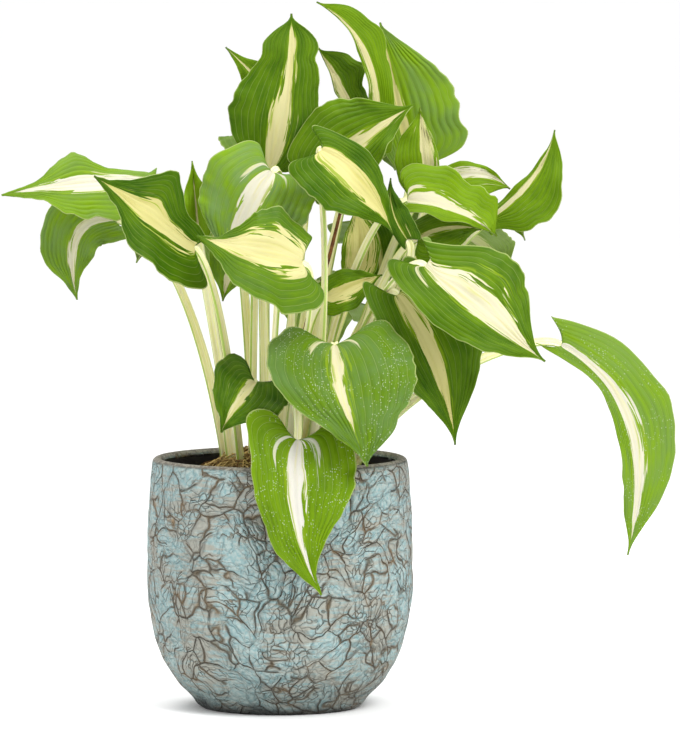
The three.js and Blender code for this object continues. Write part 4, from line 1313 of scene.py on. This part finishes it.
LEAVES = [
    # upright leaves at the top
    LeafShape(Shoot.MIDDLE, (-6, 6, 322), (8, -6, 368), (7, 8, 415), (0, -1, 0.35), 31, 25, (-6, 0),
              heart=0.02, edge_left=(1, 1.05, 1, 1, 2.3), edge_right=(1, 1, 0.8, 1.1, 2.9),
              cream=(0.24, 0.26), taper=0.4, tone=0.72, milk=0.25),
    LeafShape(Shoot.BACK, (8, 40, 350), (-14, 38, 376), (-33, 44, 394), (0, -1, 0.5), 11, 12, (-2, 14),
              cream=(0.2, 0.2), tone=0.45),
    LeafShape(Shoot.MIDDLE, (54, 24, 338), (42, 20, 362), (23, 26, 394), (0.2, -1, 0.4), 5, 24, (12, 9),
              edge_right=(0.5, 0.4, 0.55, 1.3, 2.5), cream=(0.9, 0.12), taper=0.2, tone=0.62),
    LeafShape(Shoot.MIDDLE, (58, 10, 332), (68, 8, 399), (22, 4, 422), (0.3, -1, 0.2), 6, 20, (15.5, 3),
              heart=0.04, edge_right=(0.6, 0.4, 0.55, 1.1, 2.1), cream=(0.7, 0.04), taper=0.1, tone=0.3),
    LeafShape(Shoot.RIGHT, (78, 40, 322), (68, 34, 372), (60, 38, 409), (0, -1, 0.3), 14, 38, (22, 13),
              heart=0.05, edge_right=(1.3, 0.94, 0.97, 1.03, 1.3), cream=(0.1, 0.14), taper=0.6, tone=0.04,
              milk=0.1, bloom=0.5),
    LeafShape(Shoot.RIGHT, (88, 5, 314), (84, -1, 338), (84, 4, 359), (0, -1, 0.3), 17, 8.5, (27, 1),
              cream=(0.1, 0.8), taper=0.1, tone=0.2),
    # leaves in the middle, above the stems
    LeafShape(Shoot.MIDDLE, (22, -16, 318), (42, -28, 338), (80, -28, 362), (-0.2, -1, 0.5), 34, 22, (6, -4),
              cream=(0.2, 0.34), taper=0.5, tone=0.6),
    LeafShape(Shoot.FRONT, (25, -48, 336), (52, -58, 325), (67, -52, 287), (0.1, -1, 0.5), 18, 30, (12, -17),
              heart=0.3, via=(40, -40, 276), turn=0.04, edge_left=(0.9, 0.8, 0.75, 0.7, 0.7),
              cream=(0.3, 0.42), taper=0.2, tone=0.8, milk=0.1),
    LeafShape(Shoot.MIDDLE, (-4, -30, 322), (-18, -44, 305), (-32, -36, 268), (0, -1, 0.4), 37, 33,
              (-6, -10), heart=0.3, edge_left=(0.96, 0.9, 0.92, 0.95, 1),
              edge_right=(0.95, 1.03, 1.03, 1.12, 1.3), cream=(0.24, 0.26), hook=0.09, tone=0.12, milk=0.8,
              bloom=0.8),
    LeafShape(Shoot.FRONT, (14, -66, 270), (-16, -88, 277), (-48, -80, 287), (0, -0.9, 0.7), 35, 37,
              (2, -20), heart=0.25, edge_left=(1.05, 1.05, 0.92, 1, 1),
              edge_right=(0.8, 0.95, 0.85, 0.55, 0.4), cream=(0.34, 0.62), taper=0.45, hook=0.12, tone=0.62,
              milk=0.2, bloom=0.15),
    # leaves on the left
    LeafShape(Shoot.LEFT, (-50, -50, 279), (-73, -72, 299), (-108, -80, 322), (-0.2, -0.85, 0.75), 32, 27,
              (-20, -19), fold=(12, 30), heart=0.3, edge_right=(0.35, 0.45, 1.15, 0.8, 0.85),
              lift_right=(0, 0, 6, 2, 0), cream=(0.42, 0.36), taper=0.5, tone=0.85, milk=0.1),
    LeafShape(Shoot.LEFT, (-74, -8, 315), (-118, -18, 317), (-165, -24, 308), (0, -0.75, 0.7), 30, 29,
              (-26, 0), heart=0.1, edge_right=(0.6, 0.62, 1, 0.72, 0.7), lift_right=(-7, -12, -2, -4, 0),
              cream=(0.3, 0.34), taper=0.3, tone=0.05, milk=0.85, bloom=0.3),
    LeafShape(Shoot.LEFT, (-99, 20, 291), (-132, 14, 294), (-122, 20, 243), (-0.2, -1, 0.4), 15, 26,
              (-28, 9), heart=0.3, turn=0.2, edge_right=(1.1, 1, 0.95, 1, 1), cream=(0.16, 0.16), taper=0.1,
              tone=0.15, milk=0.7, bloom=0.6),
    LeafShape(Shoot.LEFT, (-48, -20, 284), (-50, -24, 306), (-52, -16, 328), (0.1, -1, 0.2), 9, 9, (-24, -9),
              fold=(40, 40), heart=0.1, cream=(0.12, 0.12), tone=0.05),
    LeafShape(Shoot.LEFT, (-20, -10, 285), (-30, -14, 265), (-34, -8, 244), (0, -1, 0.3), 13, 16, (-15, -4),
              cream=(0.3, 0.3), tone=0.2, milk=0.5, bloom=0.2),
    # leaves that hang in front of the stems and the pot
    LeafShape(Shoot.FRONT, (33, -66, 222), (35, -102, 195), (52, -98, 153), (0, -1, 0.6), 45, 43, (14, -28),
              heart=0.32, edge_left=(1, 1, 1.03, 1.2, 2.1), edge_right=(1, 0.98, 0.75, 0.57, 0.48),
              cream=(0.11, 0.13), taper=0.5, reach=0.78, hook=0.08, tone=0.6, dew=1.0, milk=0.5, bloom=0.5),
    LeafShape(Shoot.FRONT, (-14, -50, 199), (-26, -70, 190), (-34, -64, 170), (-0.1, -1, 0.5), 23, 24,
              (-7, -30), heart=0.48, edge_left=(0.8, 1.1, 1.15, 0.95, 1),
              edge_right=(1.4, 1, 0.78, 0.72, 0.75), cream=(0.13, 0.12), taper=0.1, tone=0.8),
    LeafShape(Shoot.FRONT, (11, -78, 167), (3, -98, 122), (25, -95, 77), (0, -1, 0.3), 37, 29, (4, -34),
              heart=0.28, via=(10, -52, 236), edge_left=(1.05, 1, 0.86, 0.62, 0.35),
              edge_right=(1.45, 0.86, 0.72, 0.88, 1.1), cream=(0.26, 0.22), taper=0.6, hook=0.1, tone=0.28,
              dew=1.0, milk=1.0),
    # leaves on the right
    LeafShape(Shoot.RIGHT, (70, -43, 250), (98, -60, 212), (104, -56, 162), (0.2, -1, 0.3), 28, 20,
              (25, -20), heart=0.3, rise=0.3, edge_left=(1, 1.1, 1.22, 1.1, 1),
              edge_right=(1, 1.1, 1.2, 1.25, 1.2), taper=0.6, tone=0.75, milk=0.1),
    LeafShape(Shoot.RIGHT, (86, -58, 268), (113, -90, 242), (156, -92, 214), (0.1, -1, 0.65), 41, 23,
              (20, -11), heart=0.3, rise=0.55, edge_left=(0.3, 0.92, 1.05, 1.05, 1),
              edge_right=(1, 1, 1, 1.3, 1.6), cream=(0.5, 0.12), taper=0.25, hook=0.06, tone=0.7, milk=0.6),
    LeafShape(Shoot.RIGHT, (168, -10, 218), (228, -18, 186), (208, -12, 92), (0.3, -1, 0.2), 28, 16,
              (35, -9), heart=0.2, edge_left=(0.62, 0.88, 1.1, 1.22, 1.4),
              edge_right=(0.5, 0.4, 0.55, 0.95, 1.8), cream=(0.24, 0.26), taper=0.2, tone=0.05, dew=0.8,
              milk=0.85, bloom=0.5),
    LeafShape(Shoot.MIDDLE, (76, -25, 305), (104, -35, 305), (129, -30, 284), (0, -0.9, 0.7), 32, 9,
              (14, -6), heart=0.25, edge_left=(1, 0.85, 0.62, 0.95, 2.6), lift_left=(0, 0, 4, 4, 0),
              cream=(0.42, 0.4), taper=0.9, tone=0.12, milk=0.6),
    LeafShape(Shoot.RIGHT, (122, -6, 290), (158, -12, 315), (164, -4, 346), (-0.3, -1, 0.3), 5, 26, (35, 6),
              heart=0.05, edge_right=(0.35, 0.85, 1, 1, 1.2), cream=(0.5, 0.08), tone=0.45, milk=0.4),
    LeafShape(Shoot.RIGHT, (82, -16, 282), (104, -20, 292), (120, -14, 287), (0, -1, 0.5), 12, 19, (27, -7),
              cream=(0.15, 0.15), milk=0.2),
    LeafShape(Shoot.RIGHT, (90, 14, 310), (118, 9, 328), (138, 13, 310), (0, -1, 0.3), 8, 20, (30, 3),
              heart=0.05, edge_right=(0.8, 0.9, 1, 1.2, 1.8), cream=(0.5, 0.16), taper=0.2, tone=0.1,
              milk=0.7),
    LeafShape(Shoot.RIGHT, (120, 12, 292), (140, 10, 300), (147, 14, 279), (0, -1, 0.5), 6, 8, (36, 1),
              cream=(0.2, 0.2), tone=0.4, milk=0.2),
    # small leaves among the stems, most with a deep tone that is partly painted shade
    LeafShape(Shoot.FRONT, (28, -26, 247), (46, -33, 256), (61, -29, 261), (0, -1, 0.4), 12, 13, (6, -13),
              cream=(0.3, 0.5), taper=0.1, tone=0.6, milk=0.1),
    LeafShape(Shoot.RIGHT, (76, -31, 282), (63, -42, 300), (66, -40, 319), (0, -1, 0.1), 5, 9, (22, -14),
              cream=(0.06, 0.06), tone=0.9, milk=0.1),
    LeafShape(Shoot.MIDDLE, (46, 2, 262), (50, 0, 285), (44, 6, 301), (0, -1, 0.2), 10, 12, (8, 2),
              cream=(0.8, 0.85), taper=0.1, tone=0.4, milk=0.05),
    LeafShape(Shoot.MIDDLE, (60, 18, 258), (62, 22, 288), (40, 18, 308), (0, -1, 0.2), 17, 14, (13.5, 6),
              cream=(0.1, 0.12), tone=0.85, milk=0.1),
    # leaves at the back
    LeafShape(Shoot.BACK, (-30, 58, 292), (-38, 88, 284), (-36, 108, 246), (0, 1, 0.6), 26, 26, (-13, 22),
              heart=0.3, cream=(0.28, 0.3)),
    LeafShape(Shoot.BACK, (52, 58, 290), (66, 86, 286), (84, 108, 244), (0, 1, 0.6), 28, 28, (18, 25),
              heart=0.3, cream=(0.32, 0.26), tone=0.6),
    LeafShape(Shoot.BACK, (20, 62, 252), (24, 100, 240), (26, 122, 190), (0, 1, 0.6), 23, 23, (3, 31),
              heart=0.3, cream=(0.22, 0.24), tone=0.4),
    LeafShape(Shoot.BACK, (-10, 52, 330), (-12, 88, 348), (-12, 122, 312), (0, 0.5, 1), 26, 24, (-8, 15),
              heart=0.25, cream=(0.26, 0.3), tone=0.45),
    LeafShape(Shoot.BACK, (46, 60, 330), (56, 96, 352), (70, 128, 316), (0.1, 0.5, 1), 28, 27, (10, 18),
              heart=0.25, cream=(0.3, 0.3), tone=0.55),
    LeafShape(Shoot.RIGHT, (96, 50, 280), (120, 72, 286), (140, 92, 250), (0.3, 0.6, 1), 24, 26, (32, 14),
              heart=0.28, cream=(0.28, 0.24), tone=0.35),
    LeafShape(Shoot.BACK, (58, 66, 236), (70, 100, 226), (80, 116, 182), (0.2, 1, 0.6), 20, 20, (14, 34),
              heart=0.3, cream=(0.22, 0.3)),
    LeafShape(Shoot.LEFT, (-60, 34, 284), (-76, 56, 288), (-88, 76, 262), (-0.3, 0.6, 1), 20, 21, (-22, 12),
              heart=0.28, tone=0.4),
]


# ------------------------------------------------------------------------ studio


@dataclass
class Studio:
    """A pale floor, soft light all round, two large soft lights above and the camera."""

    camera_place: Point = (0.036, -4.0, 0.505)
    camera_pitch: float = 85.64
    lens: float = 322.91
    film: float = 36
    surround: float = 1.06
    floor_half: float = 60

    def soft_light(self, name: str, place: Point, aim: Point, size: float, power: float) -> None:
        """Hang one square soft light.

        Args:
            name: The light's name.
            place: Where it hangs, in metres.
            aim: The point that it faces.
            size: The length of its side, in metres.
            power: Its power, in watts.
        """
        data = bpy.data.lights.new(name, "AREA")
        data.shape, data.size, data.energy = "SQUARE", size, power
        lamp = bpy.data.objects.new(name, data)
        lamp.location = place
        lamp.rotation_euler = (Vector(aim) - Vector(place)).to_track_quat("-Z", "Y").to_euler()
        bpy.context.scene.collection.objects.link(lamp)

    def build(self, material: bpy.types.Material) -> None:
        """Set up the floor, the lights, the pale surround and the camera.

        Args:
            material: The floor's finish.
        """
        scene = bpy.context.scene
        bm = bmesh.new()
        bmesh.ops.create_grid(bm, x_segments=4, y_segments=4, size=self.floor_half)
        place_mesh(bm, "studio_floor", material)
        world = bpy.data.worlds.new("pale_surround")
        world.use_nodes = True
        background = world.node_tree.nodes["Background"]
        background.inputs["Color"].default_value = (1, 1, 1, 1)
        background.inputs["Strength"].default_value = self.surround
        scene.world = world
        self.soft_light("key_light", (0.9, -1.3, 1.7), (0.0, 0.0, 0.22), 0.9, 34)
        self.soft_light("top_light", (-0.5, 0.3, 1.9), (0.0, 0.0, 0.2), 1.1, 20)
        data = bpy.data.cameras.new("camera")
        data.sensor_fit, data.sensor_height, data.sensor_width = "VERTICAL", self.film, self.film
        data.lens = self.lens
        data.clip_end = 200
        camera = bpy.data.objects.new("camera", data)
        camera.location = self.camera_place
        camera.rotation_euler = (math.radians(self.camera_pitch), 0, 0)
        scene.collection.objects.link(camera)
        scene.camera = camera
        scene.view_settings.view_transform = "Standard"
        scene.view_settings.look = "None"


def main() -> None:
    """Build the studio, and then the potted hosta piece by piece."""
    logging.basicConfig(level=logging.INFO, format="%(name)s: %(message)s")
    Studio().build(StudioFinish().build())
    CracklePot().build(CrackleFinish().build())
    soil = Soil()
    soil.build(LitterFinish("dark_soil", light=rgb(104, 74, 50), dark=rgb(46, 30, 20)).build())
    golden = LitterFinish("golden_fibre", light=rgb(240, 206, 130), dark=rgb(120, 78, 34), scale=190,
                          by_strand=True)
    FibreMulch(soil).build(golden.build())
    dry = LitterFinish("dry_stalk", light=rgb(178, 122, 70), dark=rgb(104, 62, 34), scale=240)
    DryStalk().build(dry.build())
    blades = [Blade(number, shape) for number, shape in enumerate(LEAVES, start=1)]
    blade_finish, petiole_finish = BladeFinish().build(), PetioleFinish().build()
    for blade in blades:
        blade.build(blade_finish)
    for shoot in Shoot:
        Stems(shoot, blades).build(petiole_finish)


if __name__ == "__main__":
    main()
